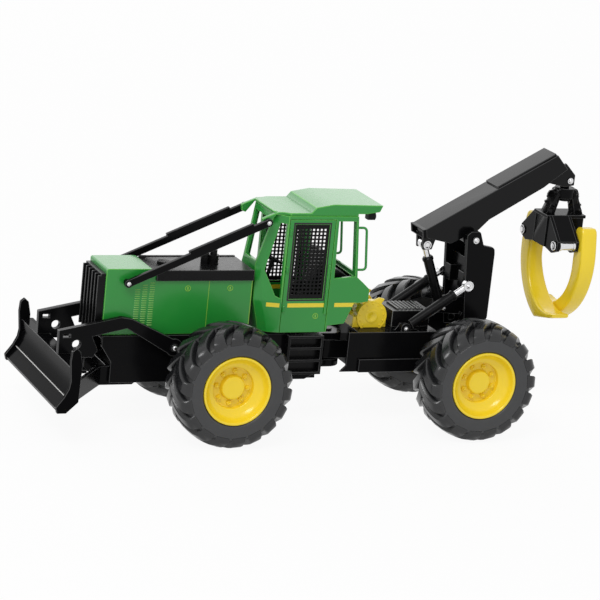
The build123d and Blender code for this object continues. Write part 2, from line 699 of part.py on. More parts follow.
def grapple_head():
    """The grapple's body: a splayed stand under the knuckle, a box, and wings that hold the tongs' pins."""
    x, z = hanger_pin
    foot_z = head_top
    hub_low, hub_high = z - 9.3, z - 4.2
    head = round_z((x, 0), 5.0, hub_low, hub_high)
    for way in (1, -1):
        head += slab([
            (x + way * 2.5, hub_high), (x + way * 5.0, hub_high - 0.8), (x + way * 10.2, foot_z - 0.2),
            (x + way * 5.4, foot_z - 0.2), (x + way * 3.4, hub_low)], -3.2, 3.2)
    head += block(head_rear_x, head_front_x, -7.0, 7.0, foot_z - 1.6, foot_z)
    head += block(head_rear_x + 0.6, head_front_x - 0.4, -6.2, 6.2, 86.0, foot_z - 1.0)
    wing = [  # (y, z)
        (5.0, foot_z - 0.2), (7.0, foot_z - 0.2), (tong_pivot_y + 2.6, 91.4), (tong_pivot_y + 2.2, 86.6),
        (13.0, 84.6), (5.0, 86.2)]
    opposite = [(-y, level) for y, level in wing]
    head += end_plate(opposite, head_front_x - 2.4, head_front_x - 0.2)
    head += end_plate(opposite, wing_back_x - wing_plate, wing_back_x)
    head += end_plate(wing, head_front_x - 3.0, head_front_x - 1.2)
    head += end_plate(wing, wing_back_x - wing_plate, wing_back_x)
    slope = [(7.0, foot_z - 0.2), (7.0, foot_z - 2.4), (tong_pivot_y - 0.6, 90.0), (tong_pivot_y + 2.4, 91.4)]
    head += end_plate(slope, wing_back_x, head_front_x - 3.0)
    left_back = left_tong_x - tong_width - 0.6
    head += round_x((tong_pivot_y, tong_pivot_z), pin_radius, left_back, head_front_x - 0.4)
    head += round_x((-tong_pivot_y, tong_pivot_z), pin_radius, wing_back_x - 2.2, head_front_x + 0.4)
    return head - round_z((x, 0), post_radius + post_gap, hub_low - 1, hub_high + 1)


def tong(x_low, side, reach=0.0):
    """A curved tong that turns on a pin along X. It reaches under the load past the middle.

    The reach is how far its tip widens backwards, beside the other tong's tip."""
    outer_edge = [
        Line((x_low, 12.2, 97.6), (x_low, 19.6, 98.2)), Line((x_low, 19.6, 98.2), (x_low, 21.4, 88.0)),
        ThreePointArc((x_low, 21.4, 88.0), (x_low, 16.2, 62.0), (x_low, 0.0, 48.4)),
        Line((x_low, 0.0, 48.4), (x_low, -18.0, 52.6)), Line((x_low, -18.0, 52.6), (x_low, -18.4, 55.2)),
        ThreePointArc((x_low, -18.4, 55.2), (x_low, 4.6, 60.0), (x_low, 12.6, 80.0)),
        Line((x_low, 12.6, 80.0), (x_low, 12.2, 97.6))]
    profile = make_face(Wire(outer_edge))
    shape = extrude(profile, amount=tong_width, dir=(1, 0, 0))
    if reach:
        straight_low, straight_high, flare_end = 40.0, 56.0, 76.0
        flare = slab([
            (x_low + 1, straight_low), (x_low - reach, straight_low), (x_low - reach, straight_high),
            (x_low, flare_end), (x_low + 1, flare_end)], -30, 30)
        shape += flare & extrude(profile, amount=reach, dir=(-1, 0, 0))
    shape -= round_x((tong_pivot_y, tong_pivot_z), pin_radius + running_gap, x_low - 1, x_low + tong_width + 1)
    return shape if side > 0 else other_side(shape)


# ------------ the whole

def build():
    nodes = {
        "front_frame": front_frame(), "front_axle": axle(0.0), "hood": hood(), "grille": grille(),
        "hood_top_panel": hood_top_panel(), "exhaust_stack": exhaust_stack(), "hood_rails": hood_rails(),
        "limb_riser_left": limb_riser(), "limb_riser_right": other_side(limb_riser()),
        "side_steps": side_steps(), "cab_shell": cab_shell(), "cab_roof": cab_roof(),
        "cab_interior": cab_interior(), "steering_wheel": steering_wheel(),
        "work_lamps": work_lamps(), "grab_handles": grab_handles(),
        "door_left": door(1), "door_guard_left": door_guard(1),
        "door_right": door(-1), "door_guard_right": door_guard(-1),
        "blade": blade(), "blade_arms": blade_arms(), "push_frame": push_frame(),
        "rear_frame": rear_frame(), "rear_axle": axle(rear_axle_x), "winch": winch(), "winch_tray": winch_tray(),
        "arch": arch(), "boom": boom(), "hanger": hanger(), "grapple_head": grapple_head(),
        "tong_left": tong(left_tong_x - tong_width, 1), "tong_right": tong(right_tong_x, -1, tip_reach)}
    place_wheels(nodes)
    cylinders(nodes)
    return nodes


nodes = build()
whole = Compound(children=[solid for shape in nodes.values() for solid in shape.solids()]).bounding_box()
shift = Vector(-(whole.min.X + whole.max.X) / 2, 0, 0)
print("moved along X by", round(shift.X, 4))
os.makedirs("parts", exist_ok=True)
for name, shape in nodes.items():
    export_step(Pos(shift) * shape, f"parts/{name}.step")
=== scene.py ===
# %% [markdown]
# A toy grapple skidder at 1:32
# The real toy is a metal casting with plastic parts, rubber tyres and steel pins. This lesson dresses a
# fixed frame of plain solids: each solid is either softened along its edges and painted, or swapped for a
# surface that is worked out here, such as a tyre with its bars.

# %% Load the frame
import json
import math

import bmesh
import bpy
import numpy as np
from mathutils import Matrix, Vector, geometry

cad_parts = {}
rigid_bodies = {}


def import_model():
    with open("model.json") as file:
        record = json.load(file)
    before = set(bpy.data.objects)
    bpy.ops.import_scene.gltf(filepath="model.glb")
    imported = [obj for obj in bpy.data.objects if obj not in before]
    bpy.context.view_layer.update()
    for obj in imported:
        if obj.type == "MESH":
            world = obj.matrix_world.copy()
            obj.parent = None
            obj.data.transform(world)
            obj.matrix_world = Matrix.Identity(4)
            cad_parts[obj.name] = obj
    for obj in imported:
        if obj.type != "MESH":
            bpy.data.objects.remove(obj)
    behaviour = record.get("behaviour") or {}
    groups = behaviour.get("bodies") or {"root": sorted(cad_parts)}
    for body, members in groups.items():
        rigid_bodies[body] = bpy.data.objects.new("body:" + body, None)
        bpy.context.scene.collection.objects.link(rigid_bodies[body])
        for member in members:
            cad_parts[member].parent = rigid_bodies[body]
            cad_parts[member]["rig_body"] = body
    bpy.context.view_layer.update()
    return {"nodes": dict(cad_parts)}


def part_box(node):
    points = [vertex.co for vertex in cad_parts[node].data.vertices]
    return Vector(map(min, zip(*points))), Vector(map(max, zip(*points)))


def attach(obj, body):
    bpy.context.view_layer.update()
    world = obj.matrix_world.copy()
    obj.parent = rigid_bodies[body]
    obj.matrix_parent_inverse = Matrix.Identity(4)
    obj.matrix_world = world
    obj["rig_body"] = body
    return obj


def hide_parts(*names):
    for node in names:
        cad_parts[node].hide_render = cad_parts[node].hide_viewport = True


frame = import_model()

# %% [markdown]
# A ruler
# Small machines are easiest to measure in millimetres from one point. Here that point is on the ground
# under the front axle, found from the box of the front rim, and every later number is turned into metres
# from it.

# %% Measure from the front axle
millimetre = 0.001


def middle(node):
    """The middle of a solid's box: half the sum of its two corners."""
    low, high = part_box(node)
    return (np.array(low) + np.array(high)) / 2


front_axle_x = middle("rim_front_left")[0]
datum = np.array([front_axle_x, 0.0, 0.0])


def spot(*places):
    """Places in millimetres from the ground under the front axle, as a table of points in metres."""
    return datum + np.array(places, float).reshape(-1, 3) * millimetre


print("the front axle is", round(front_axle_x / millimetre, 2), "mm ahead of the middle")

# %% [markdown]
# Tables of points
# A surface is a grid of points, and its faces are squares of neighbouring points. Working on whole tables at
# once makes a ring of nuts as easy as one nut: the same shape is added to each centre.

# %% Faces of a grid
def grid_faces(rows, columns, columns_close=False):
    """Squares of a grid whose points are numbered row by row: point = row * columns + column. Where the
    columns close, the last one is joined to the first."""
    this_row = np.arange(rows - 1)[:, None] * columns
    next_row = this_row + columns
    column = np.arange(columns if columns_close else columns - 1)[None, :]
    beside = (column + 1) % columns
    corners = [this_row + column, this_row + beside, next_row + beside, next_row + column]
    return np.stack(corners, -1).reshape(-1, 4)


def repeat_faces(faces, copies, points_each):
    """The same faces for each copy, with the point numbers moved on by one copy's points."""
    return (faces[None] + np.arange(copies)[:, None, None] * points_each).reshape(-1, faces.shape[1])


def tube_faces(stations, around, copies=1):
    """Squares round a tube of this many stations, and one face at each of its two ends, for each copy."""
    sides = grid_faces(stations, around, columns_close=True)
    ends = np.array([np.arange(around), (stations - 1) * around + np.arange(around)])
    each = stations * around
    return repeat_faces(sides, copies, each).tolist() + repeat_faces(ends, copies, each).tolist()


print("a grid of 3 by 4 points has", len(grid_faces(3, 4)), "squares")

# %% [markdown]
# Turned shapes
# Rims, nuts, pins and pipes are round about one axis, so each is a profile of distance and radius, carried
# round that axis as on a lathe. A profile that ends where it starts gives a ring with a hole in it.

# %% A lathe
def across(axis):
    """The axis with length 1, and two unit directions square to it and to each other."""
    axis = np.array(axis, float) / np.linalg.norm(axis)
    helper = np.array([0.0, 0.0, 1.0]) if abs(axis[2]) < 0.9 else np.array([1.0, 0.0, 0.0])
    first = np.cross(helper, axis)
    first /= np.linalg.norm(first)
    return axis, first, np.cross(axis, first)


def lathe(profile, centres, axis, steps=48, ripple=None):
    """Turns a profile of (distance along the axis, radius) round each centre.
    Point = centre + along * axis + radius * (cos a * first + sin a * second), with a from 0 to a full turn.
    A ripple multiplies the radius by a factor for each step round."""
    profile = np.array(profile, float) * millimetre
    centres = np.array(centres, float).reshape(-1, 3)
    axis, first, second = across(axis)
    angle = np.arange(steps) * 2 * np.pi / steps
    factor = np.ones(steps) if ripple is None else ripple
    ring = (np.cos(angle)[:, None] * first + np.sin(angle)[:, None] * second) * factor[:, None]
    shape = profile[:, 0, None, None] * axis + profile[:, 1, None, None] * ring[None]
    points = centres[:, None, None] + shape[None]
    squares = grid_faces(len(profile), steps, columns_close=True)
    return points.reshape(-1, 3), repeat_faces(squares, len(centres), len(profile) * steps)


def closed(profile):
    """The same profile, ending where it starts."""
    return profile + profile[:1]


print("a ring of 5 profile points has", len(closed([(0, 1)] * 5)), "with the closing one")

# %% [markdown]
# Swept bars
# Handles, seams and hooks keep one small outline along their whole length, so the outline is carried along a
# line. The line's corners are rounded first, either by cutting each corner again and again, or by one short
# curve at each.

# %% Swept bars and rounded lines
def swept(path, outline, side):
    """Carries a closed outline of (sideways, upwards) along a line of points, and closes its two ends.
    Point = place + sideways * side + upwards * (direction of travel x side)."""
    path, outline = np.array(path, float), np.array(outline, float) * millimetre
    travel = np.gradient(path, axis=0)
    travel /= np.linalg.norm(travel, axis=1)[:, None]
    side = np.broadcast_to(np.array(side, float), travel.shape)
    side = side - (side * travel).sum(1)[:, None] * travel
    side /= np.linalg.norm(side, axis=1)[:, None]
    rise = np.cross(travel, side)
    points = path[:, None] + outline[None, :, :1] * side[:, None] + outline[None, :, 1:] * rise[:, None]
    return points.reshape(-1, 3), tube_faces(len(path), len(outline))


def rounded_line(points, times=3):
    """Cuts the corners of an open line: each run gives points at 1/4 and 3/4 of its length, and the ends
    stay."""
    line = np.array(points, float)
    for _ in range(times):
        cut = np.stack([line[:-1] * 0.75 + line[1:] * 0.25, line[:-1] * 0.25 + line[1:] * 0.75], 1)
        line = np.concatenate([line[:1], cut.reshape(-1, line.shape[1]), line[-1:]])
    return line


def bent(points, radius, steps=6):
    """A line in mm with rounded corners. Near an inner point P it follows
    (1-t)^2 A + 2t(1-t) P + t^2 B, where A and B lie one radius before and after P."""
    points = np.array(points, float)
    inner, before, after = points[1:-1], points[:-2] - points[1:-1], points[2:] - points[1:-1]
    first = inner + before / np.linalg.norm(before, axis=1)[:, None] * radius
    last = inner + after / np.linalg.norm(after, axis=1)[:, None] * radius
    t = np.linspace(0, 1, steps)[None, :, None]
    arcs = (1 - t) ** 2 * first[:, None] + 2 * t * (1 - t) * inner[:, None] + t ** 2 * last[:, None]
    return np.concatenate([points[:1], arcs.reshape(-1, 3), points[-1:]])


def circle(radius, steps=12):
    """Points (radius * cos a, radius * sin a), with a from 0 to a full turn."""
    angle = np.arange(steps) * 2 * np.pi / steps
    return np.stack([np.cos(angle), np.sin(angle)], 1) * radius


print("a corner cut three times has", len(rounded_line([(0, 0), (1, 0), (1, 1)])), "points")

# %% [markdown]
# From tables to a piece
# A piece is built from one or more tables of points and faces. Points that lie on each other are merged,
# which closes seams and poles, and then every closed shell is turned so that its faces point outwards.
# Faces that meet at a steep angle keep a crisp edge, and the others are shaded as one smooth surface.

# %% Make a piece and hang it on a body
crisp_angle = math.radians(38)


def finish_mesh(name, mesh, finishes, body):
    """Gives a mesh its finishes and its crisp edges, and hangs it on a body."""
    for finish in finishes:
        mesh.materials.append(finish)
    mesh.shade_smooth()
    mesh.set_sharp_from_angle(angle=crisp_angle)
    if "crisp" in mesh.attributes:
        sharp = np.zeros(len(mesh.edges), bool)
        kept = np.zeros(len(mesh.edges), np.int32)
        mesh.attributes["sharp_edge"].data.foreach_get("value", sharp)
        mesh.attributes["crisp"].data.foreach_get("value", kept)
        mesh.attributes["sharp_edge"].data.foreach_set("value", sharp | (kept > 0))
        mesh.attributes.remove(mesh.attributes["crisp"])
    piece = bpy.data.objects.new(name, mesh)
    bpy.context.scene.collection.objects.link(piece)
    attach(piece, body)
    return piece


def make_piece(name, tables, finish, body, instead_of=()):
    """One object out of several (points, faces) tables, merged where they touch and turned outwards."""
    mesh = bpy.data.meshes.new(name)
    first = np.cumsum([0] + [len(points) for points, _ in tables]).tolist()
    faces = [[number + start for number in face]
             for (_, table), start in zip(tables, first) for face in table]
    mesh.from_pydata(np.concatenate([points for points, _ in tables]), [], faces)
    shape = bmesh.new()
    shape.from_mesh(mesh)
    bmesh.ops.remove_doubles(shape, verts=shape.verts, dist=1e-6)
    bmesh.ops.dissolve_degenerate(shape, edges=shape.edges, dist=1e-7)
    bmesh.ops.recalc_face_normals(shape, faces=shape.faces)
    shape.to_mesh(mesh)
    shape.free()
    piece = finish_mesh(name, mesh, [finish], body)
    if instead_of:
        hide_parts(*instead_of)
    print(name, "has", len(mesh.polygons), "faces")
    return piece


# %% [markdown]
# Shader sums
# A finish is a small sum over the surface: a base colour, plus some grain, plus a mark where a mask is 1.
# Writing it with Math nodes by hand hides the sum. This small class holds one socket and turns + - * < > into
# nodes, so that 1 - mask or mask * 0.5 can be written as it is read.

# %% A socket that can be added and multiplied
class Shade:
    """One output socket. Sums, products and comparisons with numbers and other shades add Math nodes, and
    size() drops the sign."""

    def __init__(self, finish, socket):
        self.finish, self.socket = finish, socket

    def _sum(self, operation, left, right):
        return self.finish.add("ShaderNodeMath", {"operation": operation}, {0: left, 1: right})

    def __add__(self, other): return self._sum("ADD", self, other)
    def __radd__(self, other): return self._sum("ADD", other, self)
    def __sub__(self, other): return self._sum("SUBTRACT", self, other)
    def __rsub__(self, other): return self._sum("SUBTRACT", other, self)
    def __mul__(self, other): return self._sum("MULTIPLY", self, other)
    def __rmul__(self, other): return self._sum("MULTIPLY", other, self)
    def __gt__(self, other): return self._sum("GREATER_THAN", self, other)
    def __lt__(self, other): return self._sum("LESS_THAN", self, other)
    def size(self): return self._sum("ABSOLUTE", self, 0.0)


# %% [markdown]
# Patterns on the toy
# Every pattern starts from the place on the toy, so it stays fixed to the metal when a wheel or the boom
# moves. One method adds any node: its settings first, then its values and links. The others are the few
# patterns that all finishes share, and the coat that turns them into a surface.

# %% A finish and its nodes
class Finish:
    """A material, or a sky, in the making. Patterns read Object coordinates, which are metres on the toy."""

    def __init__(self, name, kept_in=bpy.data.materials):
        self.made = kept_in.new(name)
        self.made.use_nodes = True
        self.tree = self.made.node_tree
        self.tree.nodes.clear()

    def add(self, kind, settings, inputs, output=0):
        """Adds a node: its settings first, then the value or link of each named socket."""
        node = self.tree.nodes.new(kind)
        for key, value in settings.items():
            setattr(node, key, value)
        for key, value in inputs.items():
            if isinstance(value, Shade):
                self.tree.links.new(value.socket, node.inputs[key])
            else:
                node.inputs[key].default_value = value
        return Shade(self, node.outputs[output]) if node.outputs else None

    def place(self):
        """The place on the toy, in metres."""
        return self.add("ShaderNodeTexCoord", {}, {}, "Object")

    def along(self, letter):
        """The X, Y or Z place on the toy, in millimetres."""
        return self.add("ShaderNodeSeparateXYZ", {}, {0: self.place()}, letter) * 1000.0

    def cloud(self, per_mm, detail=3.0, rough=0.55):
        """Soft noise from 0 to 1 with this many lumps to a millimetre."""
        settings = {"Vector": self.place(), "Scale": per_mm * 1000, "Detail": detail, "Roughness": rough}
        return self.add("ShaderNodeTexNoise", {}, settings, "Fac")

    def mix(self, mask, where_0, where_1):
        """One colour where the mask is 0, and the other where it is 1."""
        return self.add("ShaderNodeMix", {"data_type": "RGBA"}, {0: mask, 6: where_0, 7: where_1}, 2)

    def bump(self, height, depth_mm):
        """The surface's direction, tilted as if the height from 0 to 1 stood this deep."""
        inputs = {"Height": height, "Distance": depth_mm * millimetre, "Strength": 1.0}
        return self.add("ShaderNodeBump", {}, inputs)

    def coat(self, colour, roughness, normal, **constants):
        """The Principled surface. Only colour, roughness and normal vary; other sockets are constants."""
        inputs = {"Base Color": colour, "Roughness": roughness, "Normal": normal}
        inputs.update(constants)
        surface = self.add("ShaderNodeBsdfPrincipled", {}, inputs)
        self.add("ShaderNodeOutputMaterial", {}, {"Surface": surface})
        return self.made


# %% [markdown]
# Sprayed enamel
# The castings wear a thick glossy coat. Sprayed enamel is never quite flat: it has a faint orange-peel
# ripple, and its gloss drifts over a few millimetres. The ripple is a bump from fine noise. The narrow faces
# along each edge get a second finish, lighter on the green and black castings: a painted highlight, for the
# line of light that a rounded edge catches.

# %% Green, yellow and black enamel
green = (0.016, 0.262, 0.036, 1)
light_green = (0.09, 0.44, 0.06, 1)
yellow = (0.94, 0.70, 0.026, 1)
deep_yellow = (0.90, 0.64, 0.024, 1)
black = (0.0030, 0.0030, 0.0034, 1)
worn_black = (0.005, 0.005, 0.0055, 1)
marking_yellow = (0.84, 0.66, 0.03, 1)
peel_mm = 0.0025


def enamel(name, colour, second, gloss, patches=0.1, gleam=1.5):
    """Glossy paint: a colour that drifts towards a second one in soft patches, with an orange-peel ripple."""
    finish = Finish(name)
    drift = finish.cloud(0.09) * patches
    peel = finish.cloud(2.2, detail=1.0)
    roughness = finish.cloud(0.35) * 0.10 + (gloss - 0.05)
    return finish.coat(finish.mix(drift, colour, second), roughness, finish.bump(peel, peel_mm), IOR=gleam)


green_enamel = enamel("green_enamel", green, light_green, 0.22)
# The lighter green for the narrow faces along edges is a painted highlight.
green_edge_highlight = enamel("green_enamel_painted_highlight_at_edges", light_green, (0.26, 0.58, 0.13, 1), 0.26)
yellow_enamel = enamel("yellow_enamel", yellow, deep_yellow, 0.22, patches=0.25)
yellow_edge = enamel("yellow_enamel_thin_at_edges", (0.92, 0.68, 0.05, 1), yellow, 0.20)
# The seams and latches are painted a lighter green: a painted highlight along their raised edges.
seam_highlight_green = enamel("green_enamel_painted_highlight_at_seams", (0.22, 0.50, 0.05, 1), (0.30, 0.52, 0.05, 1), 0.30)
# The louvre lips are painted a lighter green: a painted highlight along each lip.
louvre_highlight_green = enamel("green_enamel_painted_highlight_on_louvres", (0.14, 0.42, 0.07, 1), (0.22, 0.50, 0.08, 1), 0.26)
black_enamel = enamel("black_enamel", black, (0.006, 0.006, 0.0065, 1), 0.18, patches=0.5, gleam=1.15)
boom_enamel = enamel("black_enamel_of_the_boom", black, worn_black, 0.14, patches=0.5, gleam=1.27)
blade_enamel = enamel("black_enamel_of_the_blade", black, worn_black, 0.14, patches=0.5, gleam=1.07)
# The lighter black for the narrow faces along edges is a painted highlight.
black_edge_highlight = enamel("black_enamel_painted_highlight_at_edges", (0.035, 0.035, 0.036, 1), (0.08, 0.08, 0.08, 1), 0.24,
                    gleam=1.4)
print("green, yellow and black enamels and their edges")

# %% [markdown]
# The cab's stripe
# A yellow stripe is printed round the cab at one height and broken where ribs and pillars stand proud. A
# band between two heights is 1 where the place is above one and below the other, so it is a product of two
# comparisons. The upper door is coloured black round its guard by a box made of such comparisons.

# %% Printed green enamel
stripe_low, stripe_high = 59.3, 61.3
inside_half_width = 11.0


def printed_enamel(name, base, breaks, black_above=None):
    """Green enamel with the stripe, which is above * below. Breaks are (from, to) places along X, in mm from
    the front axle, that stay green."""
    finish = Finish(name)
    up, ahead = finish.along("Z"), finish.along("X") - front_axle_x / millimetre
    stripe = (up > stripe_low) * (up < stripe_high)
    for low, high in breaks:
        stripe = stripe * (1 - (ahead > low) * (ahead < high))
    outside = finish.along("Y").size() > inside_half_width
    drifted = finish.mix(finish.cloud(0.09) * 0.1, base, light_green)
    colour = finish.mix(stripe * outside, drifted, marking_yellow)
    if black_above:
        low, high, front, rear = black_above
        frame_mask = (up > low) * (up < high) * (ahead < front) * (ahead > rear)
        colour = finish.mix(frame_mask, colour, black)
    roughness = finish.cloud(0.35) * 0.10 + 0.17
    return finish.coat(colour, roughness, finish.bump(finish.cloud(2.2, detail=1.0), peel_mm), IOR=1.5)


pillar_breaks = [(-32.0, -30.0), (-58.0, -54.2)]
cab_enamel = printed_enamel("green_enamel_with_stripe", green, pillar_breaks + [(-24.0, 20.0)])
door_enamel = printed_enamel("green_enamel_of_the_doors", green, [(-34.0, -20.0), (-70.0, -52.6)],
                             black_above=(62.4, 100.4, -33.2, -52.4))
print("stripe from", stripe_low, "to", stripe_high, "mm above the ground")

# %% [markdown]
# Plastic, rubber and steel
# Moulded plastic is duller than paint and has a fine spark-eroded grain. Tyre rubber is a dark grey with a
# waxy sheen, paler on the sidewall, and painted dark in the grooves between the bars, where shade falls.
# The pins and rods are turned steel: their tiny turning marks are long in one direction, so the noise is
# stretched.

# %% Moulded and turned finishes
def plastic(name, colour, second, gloss, grain_mm=0.005, gleam=1.45):
    """Moulded plastic: a fine grain in the bump and slow patches in colour and gloss."""
    finish = Finish(name)
    grain = finish.cloud(4.5, detail=2.0)
    shade = finish.mix(finish.cloud(0.2), colour, second)
    roughness = finish.cloud(0.5) * 0.14 + (gloss - 0.07)
    return finish.coat(shade, roughness, finish.bump(grain, grain_mm), IOR=gleam)


def turned_metal(name, colour, gloss, stretch):
    """Bare metal with fine turning marks: noise squeezed by a different scale along each axis."""
    finish = Finish(name)
    squeezed = finish.add("ShaderNodeVectorMath", {"operation": "MULTIPLY"}, {0: finish.place(), 1: stretch})
    marks = finish.add("ShaderNodeTexNoise", {}, {"Vector": squeezed, "Scale": 1.0, "Detail": 2.0}, "Fac")
    shade = finish.mix(marks, colour, tuple(0.82 * part for part in colour[:3]) + (1,))
    return finish.coat(shade, marks * 0.16 + (gloss - 0.08), finish.bump(marks, 0.003), Metallic=1.0)


black_plastic = plastic("black_plastic", (0.0035, 0.0035, 0.0038, 1), (0.007, 0.007, 0.0075, 1), 0.28,
                        gleam=1.22)
# The lighter black of the plastic's edge faces is a painted highlight.
black_plastic_edge_highlight = plastic("black_plastic_edge_highlight", (0.03, 0.03, 0.031, 1), (0.06, 0.06, 0.06, 1), 0.30,
                             gleam=1.35)
grey_plastic = plastic("grey_plastic", (0.20, 0.205, 0.20, 1), (0.26, 0.265, 0.26, 1), 0.45)
# The pale colour of the bead along the blade's cutting edge is a painted highlight.
painted_highlight_plastic = plastic("pale_painted_edge_highlight", (0.50, 0.50, 0.49, 1), (0.62, 0.62, 0.60, 1), 0.40)
rubber = plastic("tyre_rubber", (0.008, 0.0083, 0.009, 1), (0.016, 0.0165, 0.018, 1), 0.25, grain_mm=0.008,
                 gleam=1.52)
shoulder_radius = 23.4


def carcass_rubber_with_painted_shade(axle_x, axle_z):
    """Rubber that is paler grey on the sidewall, with painted shade that darkens the grooves between the
    bars: a step in the distance from the axle, x * x + z * z > r * r, in mm."""
    finish = Finish("carcass_rubber_with_painted_shade_" + str(round(axle_x)))
    x, z = finish.along("X") - axle_x, finish.along("Z") - axle_z
    # Painted shade: the grooves between the bars, beyond the shoulder radius, are darkened.
    painted_groove_shade = (x * x + z * z) > shoulder_radius ** 2
    wall = finish.mix(finish.cloud(0.2), (0.033, 0.034, 0.036, 1), (0.043, 0.044, 0.046, 1))
    shade = finish.mix(painted_groove_shade, wall, (0.009, 0.009, 0.010, 1))
    grain = finish.bump(finish.cloud(4.5, detail=2.0), 0.012)
    return finish.coat(shade, finish.cloud(0.5) * 0.14 + 0.36, grain)


steel = turned_metal("turned_steel", (0.80, 0.80, 0.81, 1), 0.24, (900.0, 900.0, 3500.0))
lamp_glass = plastic("lamp_glass", (0.55, 0.57, 0.58, 1), (0.70, 0.71, 0.72, 1), 0.15)
print("seven moulded and turned finishes, and a tyre rubber that is made for each axle")

# %% [markdown]
# Filling a face again
# A wide bevel can fold the outline of a flat face over itself by a hair, and the usual way of filling such
# an outline then covers windows. The cure is to cut the whole plane into triangles along the outline, and
# to keep those that the outline really goes round. The winding number counts that: it is the sum of the
# signed angles from a triangle's middle to each side of the outline, over a full turn.

# %% Fill folded faces with triangles
def winding(middles, outline):
    """Turns of a closed outline round each middle: sum of atan2(cross, dot) over the sides, over 2 pi."""
    start = outline[None] - middles[:, None]
    end = np.roll(start, -1, 1)
    cross = start[..., 0] * end[..., 1] - start[..., 1] * end[..., 0]
    return np.rint(np.arctan2(cross, (start * end).sum(-1)).sum(1) / (2 * np.pi))


def fill_folded_faces(shape, allowed=2e-8):
    """Finds faces whose fill has the wrong area, in square metres, and fills each again with triangles."""
    shape.faces.ensure_lookup_table()
    filled = np.zeros(len(shape.faces))
    for loops in shape.calc_loop_triangles():
        a, b, c = (loop.vert.co for loop in loops)
        filled[loops[0].face.index] += (b - a).cross(c - a).length / 2
    folded = [face.index for face in shape.faces
              if len(face.verts) > 3 and abs(filled[face.index] - face.calc_area()) > allowed]
    crisp = shape.edges.layers.int.get("crisp") or shape.edges.layers.int.new("crisp")
    shape.faces.ensure_lookup_table()
    folded = [shape.faces[number] for number in folded]
    fills = []
    for face in folded:
        for edge in face.edges:
            edge[crisp] = 1
        corners = list(face.verts)
        _, first, second = across(face.normal)
        places = np.array([vertex.co[:] for vertex in corners])
        flat = (places - places[0]) @ np.stack([first, second], 1) / millimetre
        ring = [(number, (number + 1) % len(corners)) for number in range(len(corners))]
        points, _, triangles, sources, _, _ = geometry.delaunay_2d_cdt(flat.tolist(), ring, [], 0, 1e-5)
        points = np.array([point[:] for point in points])
        inside = winding(points[np.array(triangles)].mean(1), flat) != 0
        lifted = places[0] + (points @ np.stack([first, second])) * millimetre
        own = [corners[source[0]] if source else shape.verts.new(place)
               for source, place in zip(sources, lifted.tolist())]
        finish = face.material_index
        for triangle in np.array(triangles)[inside].tolist():
            ends = [own[number] for number in triangle]
            if len(set(ends)) == 3 and shape.faces.get(ends) is None:
                fills.append((ends, finish))
    bmesh.ops.delete(shape, geom=folded, context="FACES_ONLY")
    for ends, finish in fills:
        shape.faces.new(ends).material_index = finish
    return len(folded)


# %% [markdown]
# Rounded edges
# A cast edge is never sharp, and its small round catches a line of light. The solids come as loose
# triangles, so a copy is merged back into whole flat faces, and every outward edge is rounded with a narrow
# two-step bevel. The narrow new faces get a second finish, mostly a lighter one that paints a highlight
# along the edge. If a bevel pushes a point out of the piece's own box, it is tried again narrower.

# %% Soften a solid
def soften(node, finish, edge_finish, width=0.25, steps=2, steepest=28.0):
    """A copy of a solid with its outward edges rounded to this width in mm, standing for the solid."""
    body = frame["nodes"][node]["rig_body"]
    low, high = (np.array(corner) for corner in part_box(node))
    for share in (1.0, 0.5, 0.2, 0.0):
        shape = bmesh.new()
        shape.from_mesh(frame["nodes"][node].data)
        for layer in list(shape.loops.layers.uv):
            shape.loops.layers.uv.remove(layer)
        bmesh.ops.remove_doubles(shape, verts=shape.verts, dist=2e-6)
        bmesh.ops.dissolve_limit(shape, angle_limit=math.radians(0.8), verts=shape.verts, edges=shape.edges)
        for face in shape.faces:
            face.material_index = 0
        if share:
            edges = [edge for edge in shape.edges if len(edge.link_faces) == 2 and edge.is_convex
                     and edge.calc_face_angle() > math.radians(steepest)]
            bmesh.ops.bevel(shape, geom=edges, offset=width * share * millimetre, offset_type="OFFSET",
                            segments=steps, profile=0.5, affect="EDGES", clamp_overlap=False, material=1,
                            loop_slide=True)
        folded = fill_folded_faces(shape)
        places = np.array([vertex.co[:] for vertex in shape.verts])
        inside = (places.min(0) > low - 2e-5).all() and (places.max(0) < high + 2e-5).all()
        if inside or not share:
            break
        shape.free()
    mesh = bpy.data.meshes.new("soft_" + node)
    shape.to_mesh(mesh)
    shape.free()
    # The bevel faces take the edge finish, which paints a highlight along the edge where it is lighter.
    piece = finish_mesh("soft_" + node, mesh, [finish, edge_finish], body)
    level = piece.modifiers.new("flat faces stay flat", "WEIGHTED_NORMAL")
    level.keep_sharp = True
    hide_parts(node)
    print(node, "softened by", width * share, "mm,", len(mesh.polygons), "faces,", folded, "filled again")
    return piece


# %% [markdown]
# The painted castings
# Hood, cab, doors and roof are green; the frames, blade, arch, boom and grapple head are black. Each is its
# solid with rounded edges. Thick castings get a wider round than sheet-like ones.

